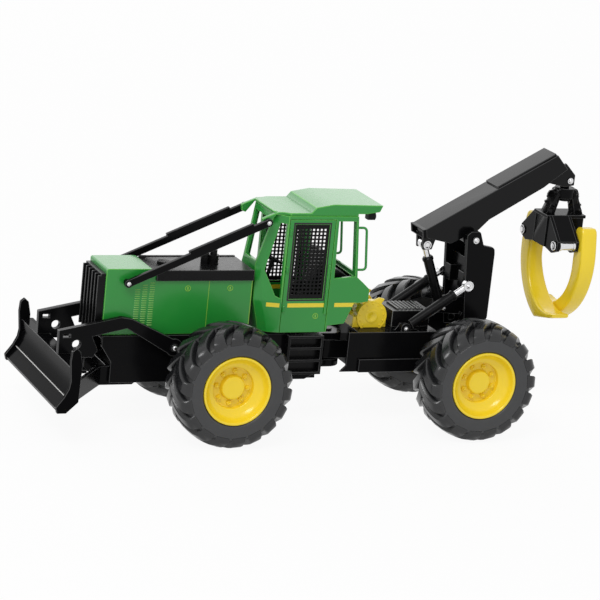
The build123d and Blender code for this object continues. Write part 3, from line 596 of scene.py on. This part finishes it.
# %% Dress the castings
soften("hood", green_enamel, green_edge_highlight, 0.35)
soften("cab_shell", cab_enamel, green_edge_highlight, 0.22)
soften("cab_roof", green_enamel, green_edge_highlight, 0.35)
for side in ("left", "right"):
    soften("door_" + side, door_enamel, green_edge_highlight, 0.16)
    soften("limb_riser_" + side, black_enamel, black_edge_highlight, 0.22)
soften("blade", blade_enamel, black_edge_highlight, 0.25)
soften("boom", boom_enamel, black_edge_highlight, 0.30)
for node, width in (("front_frame", 0.25), ("rear_frame", 0.25), ("blade_arms", 0.28),
                    ("push_frame", 0.25), ("arch", 0.25), ("front_axle", 0.3), ("rear_axle", 0.3),
                    ("grapple_head", 0.25)):
    soften(node, black_enamel, black_edge_highlight, width)
soften("winch", yellow_enamel, yellow_edge, 0.35)
for node, width in (("grille", 0.15), ("hood_top_panel", 0.15), ("hood_rails", 0.25), ("side_steps", 0.2),
                    ("work_lamps", 0.25), ("arch_cylinder_barrels", 0.2), ("boom_cylinder_barrel", 0.2)):
    soften(node, black_plastic, black_plastic_edge_highlight, width)
soften("winch_tray", black_plastic, grey_plastic, 0.2)
soften("cab_interior", black_plastic, black_plastic_edge_highlight, 0.6, steps=3)
soften("hanger", black_enamel, black_edge_highlight, 0.2)
for node in ("arch_cylinder_rods", "boom_cylinder_rod"):
    soften(node, steel, steel, 0.2)

# %% [markdown]
# Lugged tyres
# A forestry tyre is a smooth carcass with tall bars that start at the middle, run back at a slant and hook
# down over the shoulder. The carcass is a profile turned round the axle. A bar is a six-point section
# carried along a slanting line: two tables give the bar's foot and its top at each station, and the angle
# round the wheel falls behind as the line runs outwards. All 36 bars come from one table.

# %% Carcass and bars
bars_each_side = 18
carcass = rounded_line([
    (-10.8, 16.45), (-11.7, 17.2), (-12.0, 19.0), (-12.05, 21.4), (-11.9, 23.2), (-11.2, 24.5), (-9.2, 25.2),
    (-4.0, 25.7), (4.0, 25.7), (9.2, 25.2), (11.2, 24.5), (11.9, 23.2), (12.05, 21.4), (12.0, 19.0),
    (11.7, 17.2), (10.8, 16.45)], 2)
carcass = np.concatenate([carcass, carcass[:1]])
bar_line = np.array([  # width across the tyre, foot radius, top radius, lag in degrees, half width
    (-0.9, 25.2, 28.45, -1.0, 2.2), (-0.2, 25.3, 28.75, 0.8, 2.7), (1.6, 25.4, 28.77, 5.2, 2.7),
    (3.8, 25.3, 28.72, 10.2, 2.6), (6.2, 25.1, 28.5, 14.6, 2.6), (8.4, 24.8, 28.15, 18.0, 2.6),
    (10.2, 24.2, 27.6, 20.2, 2.7), (11.4, 23.4, 26.8, 21.5, 2.8), (12.1, 22.8, 25.8, 22.3, 2.8),
    (12.4, 22.6, 24.7, 22.8, 2.7), (12.42, 22.5, 23.7, 23.1, 2.5)])


def tyre_bars(wheel, phase):
    """Bars on both sides. Place = (r cos a, width, r sin a) with a = start - lag, and the section leans out
    from its foot to a top that is narrower, with a small chamfer."""
    across_y, foot, top, lag, half = bar_line.T
    radius = np.stack([foot, foot * 0.18 + top * 0.82, top, top, foot * 0.18 + top * 0.82, foot], 1)
    offset = np.stack([-half - 0.5, -half - 0.1, -half + 0.35, half - 0.35, half + 0.1, half + 0.5], 1)
    pull_in = np.linspace(0, 1, len(top))[:, None] ** 4 * np.array([0.5, 0.1, 0.0, 0.0, 0.1, 0.5])
    start = np.arange(bars_each_side) * 2 * np.pi / bars_each_side + phase
    tables = []
    for side, shift in ((1, 0.0), (-1, np.pi / bars_each_side)):
        angle = start[:, None, None] + shift - np.radians(lag)[None, :, None] + (offset / radius)[None]
        ring = np.broadcast_to(radius, angle.shape) * millimetre
        width = np.broadcast_to(side * (across_y[:, None] - pull_in) * millimetre, angle.shape)
        points = wheel + np.stack([ring * np.cos(angle), width, ring * np.sin(angle)], -1)
        stations, corners = radius.shape
        tables.append((points.reshape(-1, 3), tube_faces(stations, corners, bars_each_side)))
    return tables


wheels = [  # place, side, turn of its bars in radians
    ("front_left", 1, 0.10), ("front_right", -1, 0.21), ("rear_left", 1, 0.31), ("rear_right", -1, 0.02)]
for place, side, phase in wheels:
    wheel = middle("tyre_" + place)
    rubber_with_painted_groove_shade = carcass_rubber_with_painted_shade(wheel[0] / millimetre, wheel[2] / millimetre)
    make_piece("tyre_carcass_" + place, [lathe(carcass, wheel, (0, 1, 0), 144)], rubber_with_painted_groove_shade,
               "wheel_" + place, ["tyre_" + place])
    make_piece("tyre_bars_" + place, tyre_bars(wheel, phase), rubber, "wheel_" + place)

# %% [markdown]
# Dished rims
# The rim is a deep dish with a flat recess, a proud hub cap and a ring of eight nuts. It is one lathe
# profile, and the nuts are six-step lathes set round the recess.

# %% Rims, hub caps and nuts
dish = np.concatenate([
    rounded_line([(11.0, 16.4), (11.62, 16.35), (11.68, 15.6), (11.2, 15.1), (9.0, 14.4), (7.2, 12.9),
                  (6.2, 11.0), (5.9, 10.1), (5.5, 9.95), (3.5, 9.8)], 2),
    rounded_line([(3.4, 9.5), (3.4, 6.3), (3.6, 5.9), (5.7, 5.6), (6.1, 5.2), (6.3, 4.4), (6.38, 1.5),
                  (6.4, 0.0)], 2)])
back = [(3.0, 0.0), (3.0, 2.1), (-11.4, 2.1), (-11.4, 4.8), (1.4, 4.8), (1.4, 14.2), (-10.4, 15.0),
        (-11.4, 15.2), (-11.4, 16.4)]
nut_count, nut_circle, recess_level = 8, 7.7, 3.38
nut = [(0.0, 0.0), (0.0, 1.3), (0.85, 1.3), (1.1, 1.05), (1.1, 0.62), (1.6, 0.62), (1.8, 0.45), (1.8, 0.0)]
for place, side, phase in wheels:
    wheel = middle("tyre_" + place)
    outward = (0, side, 0)
    turn = np.arange(nut_count) * 2 * np.pi / nut_count + phase
    level = np.full(nut_count, side * recess_level)
    ring = np.stack([np.cos(turn) * nut_circle, level, np.sin(turn) * nut_circle], 1) * millimetre
    shell = np.concatenate([dish, back, dish[:1]])
    tables = [lathe(shell, wheel, outward, 96), lathe(nut, wheel + ring, outward, 6)]
    make_piece("dished_rim_" + place, tables, yellow_enamel, "wheel_" + place,
               ["rim_" + place])

# %% [markdown]
# Perforated guards
# The door guards are plates with square holes that can be looked through. A plate with holes is a grid
# whose lines come in pairs, one at each side of a hole: the squares between a pair both ways are left out,
# and the walls of each hole join the front of the plate to its back.

# %% Plates with square holes
def perforated(corners, holes_across, holes_up, open_share, border_share, thickness, facing):
    """A flat plate with square holes between four corners in metres: low left, low right, high right, high
    left."""
    def lines(count):
        """Grid lines from 0 to 1: a pair for each hole, between two borders."""
        cell = (1 - 2 * border_share) / count
        start = border_share + np.arange(count) * cell + cell * (1 - open_share) / 2
        return np.concatenate([[0.0], np.stack([start, start + cell * open_share], 1).ravel(), [1.0]])

    u, v = lines(holes_across), lines(holes_up)
    a, b, c, d = (np.array(corner, float) for corner in corners)
    grid_u, grid_v = np.meshgrid(u, v, indexing="ij")
    grid_u, grid_v = grid_u[..., None], grid_v[..., None]
    front = (a * (1 - grid_u) + b * grid_u) * (1 - grid_v) + (d * (1 - grid_u) + c * grid_u) * grid_v
    rear = front - np.array(facing, float) * thickness * millimetre
    rows, columns = len(u), len(v)
    faces = grid_faces(rows, columns)
    row, column = np.divmod(np.arange(len(faces)), columns - 1)
    hole = (row % 2 == 1) & (column % 2 == 1)
    depth = rows * columns
    solid, opened = faces[~hole], faces[hole]
    walls = np.concatenate([np.stack([opened[:, i], opened[:, (i + 1) % 4], opened[:, (i + 1) % 4] + depth,
                                      opened[:, i] + depth], 1) for i in range(4)])
    number = np.arange(depth).reshape(rows, columns)
    rim = np.concatenate([number[:, 0], number[-1, 1:], number[-2::-1, -1], number[0, -2:0:-1]])
    after = np.roll(rim, -1)
    edge = np.stack([rim, after, after + depth, rim + depth], 1)
    return np.concatenate([front.reshape(-1, 3), rear.reshape(-1, 3)]), np.concatenate(
        [solid, solid + depth, walls, edge])


for side, sign in (("left", 1), ("right", -1)):
    low, high = (np.array(corner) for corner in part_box("door_guard_" + side))
    y = high[1] if sign > 0 else low[1]
    corners = [(high[0], y, low[2]), (low[0], y, low[2]), (low[0], y, high[2]), (high[0], y, high[2])]
    plate = perforated(corners, 8, 18, 0.62, 0.045, 0.7, (0, sign, 0))
    make_piece("perforated_guard_" + side, [plate], black_plastic, "door_" + side,
               ["door_guard_" + side])

# %% [markdown]
# Pins and bolt heads
# Bright pin heads mark every pivot. Each is a low dome on a thin washer, turned on a lathe, and all the
# heads that move together are one piece.

# %% Pin heads by body
tallest = 1.4
dome = [(0.0, 0.0), (0.0, 1.0), (0.18, 1.0), (0.22, 0.86), (0.22, 0.74), (0.42, 0.70), (0.60, 0.50),
        (0.68, 0.26), (0.70, 0.0)]


def pin_heads(name, body, centres, radius):
    """Domed heads of this radius in mm at each centre, facing away from the middle plane. The dome is given
    for a radius of 1, so its radii are multiplied by the radius, and its heights by the radius or the tallest
    allowed, whichever is less."""
    profile = np.array(dome) * (min(radius, tallest), radius)
    tables = [lathe(profile, spot(x, y, z), (0, math.copysign(1, y), 0), 20) for x, y, z in centres]
    return make_piece(name, tables, steel, body)


def both_sides(places):
    """Each place and its mirror image across the middle plane."""
    return [(x, y * sign, z) for x, y, z in places for sign in (1, -1)]


pin_heads("riser_pin_heads", "front_chassis", both_sides([(45.4, 16.68, 71.1), (-20.8, 16.68, 100.0)]), 1.0)
pin_heads("blade_pin_heads", "front_chassis", both_sides([(20.8, 18.38, 40.6)]), 1.5)
pin_heads("arch_pin_heads", "rear_chassis", both_sides([(-134.0, 16.98, 46.0)]), 1.6)
pin_heads("cylinder_foot_pin_heads", "rear_chassis", both_sides([(-97.7, 15.88, 47.6)]), 1.1)
pin_heads("boom_pin_heads", "arch", both_sides([(-130.7, 13.38, 90.8)]), 1.5)
pin_heads("boom_tip_pin_heads", "boom", both_sides([(-182.5, 4.88, 118.8)]), 1.5)

# %% [markdown]
# Hood pressings
# Each side of the hood has three columns of short louvres, a seam between its two doors, and two round
# latch recesses, and each cab door has one more. A louvre is a lip that leans out at its lower edge: one
# small section carried sideways and shrunk at both ends. All louvres are one table, made by adding the same
# lip to a table of places.

# %% Louvres, seams and latches
def louvres(places, sign, length=2.5):
    """Point = place + along X + lip * scale, where the lip is (outwards, upwards) and scale falls off at both
    ends."""
    lip = np.array([(0.0, -0.24), (0.30, -0.20), (0.27, -0.08), (0.04, 0.20), (-0.05, 0.20), (-0.05, -0.24)])
    along, scale = np.array([-0.5, -0.42, 0.42, 0.5]) * length, np.array([0.25, 1.0, 1.0, 0.25])
    shape = np.zeros((len(along), len(lip), 3))
    shape[..., 0] = along[:, None]
    shape[..., 1] = lip[None, :, 0] * scale[:, None] * sign
    shape[..., 2] = lip[None, :, 1] * scale[:, None]
    points = spot(*places)[:, None, None] + shape[None] * millimetre
    return points.reshape(-1, 3), tube_faces(len(along), len(lip), len(places))


hood_side_y, door_side_y = 12.3, 17.0
louvre_columns = ((39.3, 68.2), (35.8, 69.6), (32.3, 70.4))  # place along X, top
louvre_places = [(x, z) for x, top in louvre_columns for z in np.arange(50.2, top, 1.06)]
latch_ring = closed([(-0.05, 1.45), (0.14, 1.40), (0.17, 1.25), (0.14, 1.12), (-0.05, 1.05)])
paddle = [(-0.32, -0.05), (0.32, -0.05), (0.26, 0.16), (-0.26, 0.16)]


def latch(place, sign):
    """A ring lathed round the place, and a short paddle swept from 0.75 mm below it to 0.75 mm above."""
    upright = place + np.array([[0, 0, -0.75], [0, 0, 0.75]]) * millimetre
    return [lathe(latch_ring, place, (0, sign, 0), 24), swept(upright, paddle, (-sign, 0, 0))]


lips, seams, latches = [], [], []
for sign in (1, -1):
    lips.append(louvres([(x, sign * hood_side_y, z) for x, z in louvre_places], sign))
    for x, width in ((4.35, 0.16), (-17.0, 0.2)):
        strip = [(-width, -0.05), (width, -0.05), (width * 0.6, 0.14), (-width * 0.6, 0.14)]
        upright = spot((x, sign * hood_side_y, 46.3), (x, sign * hood_side_y, 71.3))
        seams.append(swept(upright, strip, (-sign, 0, 0)))
    for x in (14.8, -6.2):
        latches += latch(spot(x, sign * hood_side_y, 67.6), sign)
make_piece("hood_louvres", lips, louvre_highlight_green, "front_chassis")
for side, sign in (("left", 1), ("right", -1)):
    place = spot(-48.8, sign * door_side_y, 55.0)
    make_piece("door_latch_" + side, latch(place, sign), seam_highlight_green, "door_" + side)
make_piece("hood_seams_and_latches", seams + latches, seam_highlight_green, "front_chassis")

# %% [markdown]
# Exhaust, filler and steering wheel
# Pipes are hollow, so their profile goes up the outside, over the lip and down the inside. The filler cap
# has a knurled rim: its radius ripples as it goes round. The steering wheel is a ring turned about a
# leaning column.

# %% Turned fittings of the hood and cab
panel_level = 76.2
muffler = [(0, 0), (0, 2.7), (0.5, 2.7), (0.6, 2.45), (1.9, 2.45), (2.0, 2.7), (2.5, 2.7), (2.6, 2.45),
           (3.7, 2.45), (4.0, 2.7), (4.4, 2.6), (4.5, 1.7), (6.7, 1.7), (6.8, 1.55), (6.75, 1.2), (4.6, 1.15),
           (4.6, 0.0)]
breather = [(0, 0), (0, 1.9), (3.3, 1.9), (3.5, 1.65), (4.2, 1.65), (4.3, 1.9), (5.1, 1.85), (5.3, 1.5),
            (5.2, 1.1), (3.9, 1.0), (3.9, 0.0)]
pipes = [lathe(muffler, spot(-1.2, 0, panel_level), (0, 0, 1), 32),
         lathe(breather, spot(3.0, 0, panel_level), (0, 0, 1), 28)]
make_piece("exhaust_pipes", pipes, black_plastic, "front_chassis", ["exhaust_stack"])
knurl_steps, knurl_teeth = 72, 18
knurl_turn = np.arange(knurl_steps) * 2 * np.pi / knurl_steps
knurl = 1 + 0.035 * np.sign(np.sin(knurl_turn * knurl_teeth + 0.1))
cap_profile = [(0.1, 0.0), (0.1, 3.2), (1.3, 3.3), (1.45, 3.1), (1.45, 0.0)]
cap = lathe(cap_profile, spot(23.0, 0, 75.7), (0, 0, 1), knurl_steps, knurl)
make_piece("filler_cap_knurl", [cap], black_plastic, "front_chassis")
wheel_top, wheel_axis = spot(-31.5, 0, 78.5), np.array([-0.4, 0, 0.9])
loop = np.append(circle(0.55, 10), [[0.55, 0.0]], 0) + np.array([0.0, 4.6])
hub = [(-0.5, 0.0), (-0.5, 1.3), (0.3, 1.4), (0.6, 1.0), (0.7, 0.0)]
across_wheel = across(wheel_axis)[1:]
spokes = []
for turn in np.radians([90, 210, 330]):
    outwards = np.cos(turn) * across_wheel[0] + np.sin(turn) * across_wheel[1]
    spoke = np.stack([wheel_top[0], wheel_top[0] + outwards * 4.5 * millimetre])
    spokes.append(swept(spoke, circle(0.4, 8), wheel_axis))
column = swept(np.concatenate([spot(-27.5, 0, 62.0), wheel_top]), circle(0.9, 12), (0, 1, 0))
dash_outline = [(-25.5, -49.2), (-30.8, -49.2), (-30.8, -60), (-29.4, -63.2), (-27.2, -65.6), (-25.2, -65.6)]
dash = swept(spot((0, -5, 0), (0, 5, 0)), dash_outline, (1, 0, 0))
loop_and_hub = [lathe(loop, wheel_top, wheel_axis, 40), lathe(hub, wheel_top, wheel_axis, 20)]
make_piece("steering_wheel_and_dash", loop_and_hub + [column, dash] + spokes, black_plastic, "front_chassis",
           ["steering_wheel"])

# %% [markdown]
# Handles and lamps
# A grab handle is one bent rod: a round section carried along a line whose corners are rounded. Each work
# lamp gets a ring and a domed glass, turned about the direction that it looks in.

# %% Bent rods and lamp glasses
handles = []
for sign in (1, -1):
    line = [(x, sign * 15.0, z) for x, z in ((-66.7, 77.0), (-73.2, 77.0), (-71.4, 97.5), (-66.7, 97.5))]
    handles.append(swept(spot(*bent(line, 2.0)), circle(0.6), (0, 1, 0)))
make_piece("grab_handle_rods", handles, green_enamel, "front_chassis", ["grab_handles"])
lamp_faces = spot((-76.0, 11.8, 102.5), (-76.0, -11.8, 102.5))
bezel = closed([(-0.1, 1.6), (0.35, 1.6), (0.4, 1.35), (0.1, 1.3), (-0.1, 1.3)])
make_piece("lamp_bezels", [lathe(bezel, lamp_faces, (-1, 0, 0), 24)], black_plastic, "front_chassis")
glass = [(0.0, 0.0), (0.0, 1.32), (0.2, 1.1), (0.32, 0.6), (0.36, 0.0)]
make_piece("lamp_glasses", [lathe(glass, lamp_faces, (-1, 0, 0), 24)], lamp_glass, "front_chassis")

# %% [markdown]
# Blade edge and boom mouth
# A thin bead is carried across the blade along the seam of the cutting edge and the mouldboard, and its
# pale colour is a painted highlight along that edge. The boom is a box section that is open at its front
# end, so a short sleeve with one hole stands on that end.

# %% Weld bead and sleeve
bead = swept(spot((78.78, -39.4, 24.75), (78.78, 39.4, 24.75)), circle(0.26, 8), (1, 0, 0))
make_piece("cutting_edge_bead_with_painted_highlight", [bead], painted_highlight_plastic, "blade")
top, bottom = (-106.25, 94.75), (-107.0, 90.45)
ahead = np.array([0.985, 0.0, -0.17])
mouth_half = 7.4
mouth = spot((bottom[0], mouth_half, bottom[1]), (bottom[0], -mouth_half, bottom[1]),
             (top[0], -mouth_half, top[1]), (top[0], mouth_half, top[1])) + ahead * 1.5 * millimetre
make_piece("boom_mouth_sleeve", [perforated(mouth, 1, 1, 1.0, 0.10, 1.6, ahead)], black_enamel, "boom")

# %% [markdown]
# Cylinder glands and eyes
# A hydraulic cylinder ends in a gland nut that the bright rod slides through, and its rod carries a forged
# eye with a ring on each face. Gland and ring are lathes whose axis is the cylinder's own line, or the
# pin's.

# %% Glands and eye rings
gland = closed([(-1.5, 2.38), (-1.45, 2.75), (-0.4, 2.75), (-0.1, 2.5), (0.35, 2.2), (0.4, 1.62),
                (-1.5, 1.62)])


def gland_at(start, end, y, back_by):
    """A gland on the line between two (x, z) pivots: place = end - unit direction * the distance back."""
    start, end = np.array(start, float), np.array(end, float)
    direction = (end - start) / np.linalg.norm(end - start)
    x, z = end - direction * back_by
    return lathe(gland, spot(x, y, z), (direction[0], 0, direction[1]), 28)


eye_ring = closed([(-0.05, 2.62), (0.16, 2.55), (0.22, 2.3), (0.16, 2.0), (-0.05, 1.95)])
arch_foot, arch_eye, boom_foot, boom_eye = (-97.7, 47.6), (-128.5, 68.6), (-122.0, 54.5), (-109.5, 86.1)
glands = [gland_at(arch_foot, arch_eye, y, 8.0) for y in (14.2, -14.2)]
make_piece("arch_cylinder_glands", glands, black_plastic, "arch_cylinder_barrels")
make_piece("boom_cylinder_gland", [gland_at(boom_foot, boom_eye, 0, 7.5)], black_plastic,
           "boom_cylinder_barrel")
rings = [lathe(eye_ring, spot(arch_eye[0], sign * 15.6, arch_eye[1]), (0, sign, 0), 28) for sign in (1, -1)]
make_piece("arch_cylinder_eye_rings", rings, steel, "arch_cylinder_rods")
arch_eye_side = (arch_eye[0], 15.58, arch_eye[1])
pin_heads("arch_cylinder_eye_pins", "arch_cylinder_rods", both_sides([arch_eye_side]), 1.3)
pin_heads("boom_cylinder_eye_pins", "boom", both_sides([(boom_eye[0], 4.08, boom_eye[1])]), 2.1)
pin_heads("boom_cylinder_foot_pins", "arch", both_sides([(boom_foot[0], 4.58, boom_foot[1])]), 1.2)

# %% [markdown]
# Winch bolts
# A ring of small bolts holds each round winch cover, and a shallow boss stands in its middle. The cover's
# edge has a raised flange.

# %% Winch cover details
winch_bolt = [(-0.05, 0.0), (-0.05, 0.5), (0.22, 0.5), (0.3, 0.38), (0.3, 0.0)]
boss = [(-0.05, 3.4), (0.2, 3.3), (0.25, 3.0), (0.25, 1.6), (0.1, 1.4), (0.1, 0.0), (-0.05, 0.0)]
flange = closed([(-0.05, 7.75), (0.15, 7.7), (0.2, 7.3), (0.15, 7.0), (-0.05, 6.95)])
turn = np.radians(np.arange(-45, 226, 27))  # eleven bolts, with the gap at the bottom
bolt_circle = 6.2
covers = []
for sign in (1, -1):
    face = spot(-81.7, sign * 9.5, 52.2)
    bolts = face + np.stack([np.cos(turn), turn * 0, np.sin(turn)], 1) * bolt_circle * millimetre
    covers += [lathe(winch_bolt, bolts, (0, sign, 0), 10), lathe(boss, face, (0, sign, 0), 32),
               lathe(flange, face, (0, sign, 0), 48)]
make_piece("winch_cover_bolts", covers, yellow_enamel, "rear_chassis")

# %% [markdown]
# The grapple's tongs
# A tong is a thick curved hook with well rounded edges, cast in one piece. Its side view is a pair of
# curves, an outer and an inner one, that meet at the tip. Each station down the hook joins a point of the
# outer curve to a point of the inner curve, and a rounded rectangle is stretched between them. The far tong
# also widens towards its tip, so its rear side moves back with the height.

# %% Tongs as stretched sections
def rounded_box_outline(round_u, round_v, steps=5):
    """A unit square from 0 to 1 both ways with elliptic corners, as (u, v) points in order round it."""
    turn = np.linspace(0, np.pi / 2, steps)
    corner = np.stack([1 - np.cos(turn), 1 - np.sin(turn)], 1) * (round_u, round_v)
    flip_u, flip_v = corner * (-1, 1) + (1, 0), corner * (1, -1) + (0, 1)
    return np.concatenate([corner, flip_u[::-1], (1, 1) - corner, flip_v[::-1]])


def arc_through(a, b, c, steps):
    """Points on the circle through three (y, z) points, from the first to the last."""
    (ax, ay), (bx, by), (cx, cy) = a, b, c
    grid = np.array([[bx - ax, by - ay], [cx - ax, cy - ay]]) * 2
    squares = [bx ** 2 + by ** 2 - ax ** 2 - ay ** 2, cx ** 2 + cy ** 2 - ax ** 2 - ay ** 2]
    middle_yz = np.linalg.solve(grid, squares)
    angles = np.unwrap([math.atan2(y - middle_yz[1], x - middle_yz[0]) for x, y in (a, b, c)])
    turn = np.linspace(angles[0], angles[2], steps)[:, None]
    return middle_yz + np.concatenate([np.cos(turn), np.sin(turn)], 1) * math.dist(a, middle_yz)


def evenly(line, count):
    """The same line with this many points at equal steps along it."""
    run = np.append(0, np.cumsum(np.linalg.norm(np.diff(line, axis=0), axis=1)))
    return np.stack([np.interp(np.linspace(0, run[-1], count), run, line[:, axis]) for axis in (0, 1)], 1)


tong_width, stations = 8.4, 64
widens_below, widens_over = 76.0, 20.0
outer_arc = arc_through((21.4, 88.0), (16.2, 62.0), (0.0, 48.4), 40)
inner_arc = arc_through((12.6, 80.0), (4.6, 60.0), (-18.4, 55.2), 40)
outer = evenly(np.concatenate([[(19.6, 98.2)], outer_arc, [(-18.0, 52.6)]]), stations)
inner = evenly(np.concatenate([[(12.2, 97.6), (12.6, 80.0)], inner_arc[1:]]), stations)
section = rounded_box_outline(0.16, 0.16)
for side, sign in (("left", 1), ("right", -1)):
    low, high = (np.array(corner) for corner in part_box("tong_" + side))
    near_end = np.minimum(1, np.minimum(np.arange(stations), np.arange(stations)[::-1]) / 3.0)
    shrink = np.sqrt(1 - (1 - near_end) ** 2) * 0.32 + 0.68
    u = (section[None, :, 0] - 0.5) * shrink[:, None] + 0.5
    yz = outer[:, None] * (1 - u[..., None]) + inner[:, None] * u[..., None]
    front = high[0] / millimetre
    reach = (high[0] - low[0]) / millimetre - tong_width
    width = tong_width + np.clip((widens_below - yz[..., 1]) / widens_over, 0, 1) * reach
    v = (section[None, :, 1] - 0.5) * (1 - (1 - shrink[:, None]) * 0.4) + 0.5
    points = np.stack([front - v * width, yz[..., 0] * sign, yz[..., 1]], -1) * millimetre
    table = points.reshape(-1, 3), tube_faces(stations, len(section))
    make_piece("cast_tong_" + side, [table], yellow_enamel, "tong_" + side, ["tong_" + side])

# %% [markdown]
# The grapple's rough stand
# Under the boom tip the grapple hangs on a stand that is cast rough, like knotted rope. Each leg is a round
# section carried down a line, with its radius pushed in and out by seeded noise, so every run gives the
# same lumps. Bright sleeves and ringed bolts mark the tongs' pins.

# %% Rough legs, sleeve and bolts
rng = np.random.default_rng(32)
legs = []
for way in (1, -1):
    line = rounded_line([(-182.5 + way * 2.4, 0, 113.2), (-182.5 + way * 4.6, 0, 111.6),
                         (-182.5 + way * 6.5, 0, 107.0), (-182.5 + way * 7.9, 0, 101.9)], 3)
    count = len(line)
    points, faces = swept(spot(*line), circle(1.0, 14), (0, 1, 0))
    table = points.reshape(count, 14, 3)
    centre = spot(*line)[:, None]
    lumps = rng.uniform(0.75, 1.2, (count // 2 + 1, 7)).repeat(2, 0)[:count].repeat(2, 1)
    stretch = np.array([1.0, 1.45, 1.0])
    swell = np.interp(np.linspace(0, 1, count), [0, 0.35], [1.35, 2.7])[:, None]
    table = centre + (table - centre) * (swell * lumps)[..., None] * stretch
    legs.append((table.reshape(-1, 3), faces))
make_piece("rough_cast_legs", legs, black_plastic, "grapple")
sleeve = closed([(0.1, 1.82), (0.1, 2.6), (1.0, 2.6), (1.1, 2.25), (7.3, 2.25), (7.4, 2.6), (8.3, 2.6),
                 (8.3, 1.82)])
pin_y, pin_z = 16.0, 89.0
make_piece("tong_pin_sleeve", [lathe(sleeve, spot(-182.6, pin_y, pin_z), (1, 0, 0), 28)], steel, "grapple")
bolt_ring = closed([(-0.05, 2.3), (0.3, 2.25), (0.35, 1.95), (0.1, 1.8), (-0.05, 1.8)])
bolt_core = [(-0.1, 0.0), (-0.1, 1.35), (0.5, 1.3), (0.62, 0.9), (0.62, 0.0)]
ends = spot((-171.35, pin_y, pin_z), (-170.6, -pin_y, pin_z))
bolt_tables = [lathe(bolt_ring, ends - np.array([0.0002, 0, 0]), (1, 0, 0), 24),
               lathe(bolt_core, ends, (1, 0, 0), 16)]
make_piece("tong_pin_bolts", bolt_tables, steel, "grapple")

# %% [markdown]
# A white floor
# The toy stands on a plain white floor. A ray from the camera, from a mirror or through glass sees a glowing
# white, so the background and the reflections are clean. Every other ray sees plain paper, which takes the
# toy's shadow and lights its underside. The floor shows a little of its shadow to the camera as well.

# %% Floor
scene = bpy.context.scene
scene.view_settings.view_transform = "Standard"
floor_mesh = bpy.data.meshes.new("floor")
floor_mesh.from_pydata([(-9, -14, 0), (9, -14, 0), (9, 6, 0), (-9, 6, 0)], [], [(0, 1, 2, 3)])
floor = bpy.data.objects.new("floor", floor_mesh)
scene.collection.objects.link(floor)


def seen_directly(finish):
    """1 for a ray from the camera, a mirror or glass, and 0 for the others: the sum of three flags."""
    flags = [finish.add("ShaderNodeLightPath", {}, {}, "Is " + kind + " Ray")
             for kind in ("Camera", "Glossy", "Transmission")]
    return flags[0] + flags[1] + flags[2]


paper = Finish("white_paper")
plain = paper.add("ShaderNodeBsdfDiffuse", {}, {"Color": (0.86, 0.86, 0.86, 1)})
glow = paper.add("ShaderNodeEmission", {}, {"Color": (1, 1, 1, 1), "Strength": 1.0})
mostly_glow = seen_directly(paper) * 0.93
surface = paper.add("ShaderNodeMixShader", {}, {0: mostly_glow, 1: plain, 2: glow})
paper.add("ShaderNodeOutputMaterial", {}, {"Surface": surface})
floor_mesh.materials.append(paper.made)
print("floor", floor.dimensions[:2])

# %% [markdown]
# An even sky and two lights
# The sky is white to the camera in the same way, and dimmer where it only lights the toy. One soft light
# stands before the toy, and a wide one behind it shines off its flat tops, so its colours come out as they
# are written.

# %% Sky and lights
sky = Finish("even_sky", bpy.data.worlds)
dim = sky.add("ShaderNodeBackground", {}, {"Color": (1, 1, 1, 1), "Strength": 0.62})
full = sky.add("ShaderNodeBackground", {}, {"Color": (1, 1, 1, 1), "Strength": 1.0})
both = sky.add("ShaderNodeMixShader", {}, {0: seen_directly(sky), 1: dim, 2: full})
sky.add("ShaderNodeOutputWorld", {}, {"Surface": both})
scene.world = sky.made


def soft_light(name, place, aim, size, power):
    """A rectangular lamp at a place in metres. It shines along its own -Z, so its +Z is turned to point
    along place - aim."""
    lamp = bpy.data.lights.new(name, "AREA")
    lamp.shape, lamp.size, lamp.size_y, lamp.energy = "RECTANGLE", size[0], size[1], power
    holder = bpy.data.objects.new(name, lamp)
    scene.collection.objects.link(holder)
    holder.location = place
    direction = np.array(place, float) - np.array(aim, float)
    tilt = math.atan2(math.hypot(direction[0], direction[1]), direction[2])
    holder.rotation_euler = (tilt, 0, math.atan2(direction[1], direction[0]) + math.pi / 2)
    return holder


for lamp in (soft_light("key_light", (0.9, 1.0, 1.5), (0, 0, 0.05), (0.9, 0.6), 14.0),
             soft_light("back_light", (0.1, -1.7, 0.85), (0, 0, 0.05), (2.4, 1.1), 8.0)):
    print(lamp.name, lamp.data.energy, "W")

# %% [markdown]
# The camera
# A toy is looked at from close by, with a long lens and from a little above its deck. This camera stands at
# the machine's left front and leans over by a few degrees.

# %% Camera
camera = bpy.data.objects.new("camera", bpy.data.cameras.new("camera"))
scene.collection.objects.link(camera)
camera.data.sensor_width = 36.0
camera.data.lens = 163.4
camera.data.shift_x = -0.0142
camera.data.clip_end = 50.0
camera.location = (0.51349, 1.14714, 0.39436)
camera.rotation_euler = tuple(math.radians(angle) for angle in (74.9188, -5.8783, 157.5808))
scene.camera = camera
print("camera", round(camera.location.length, 2), "m away")
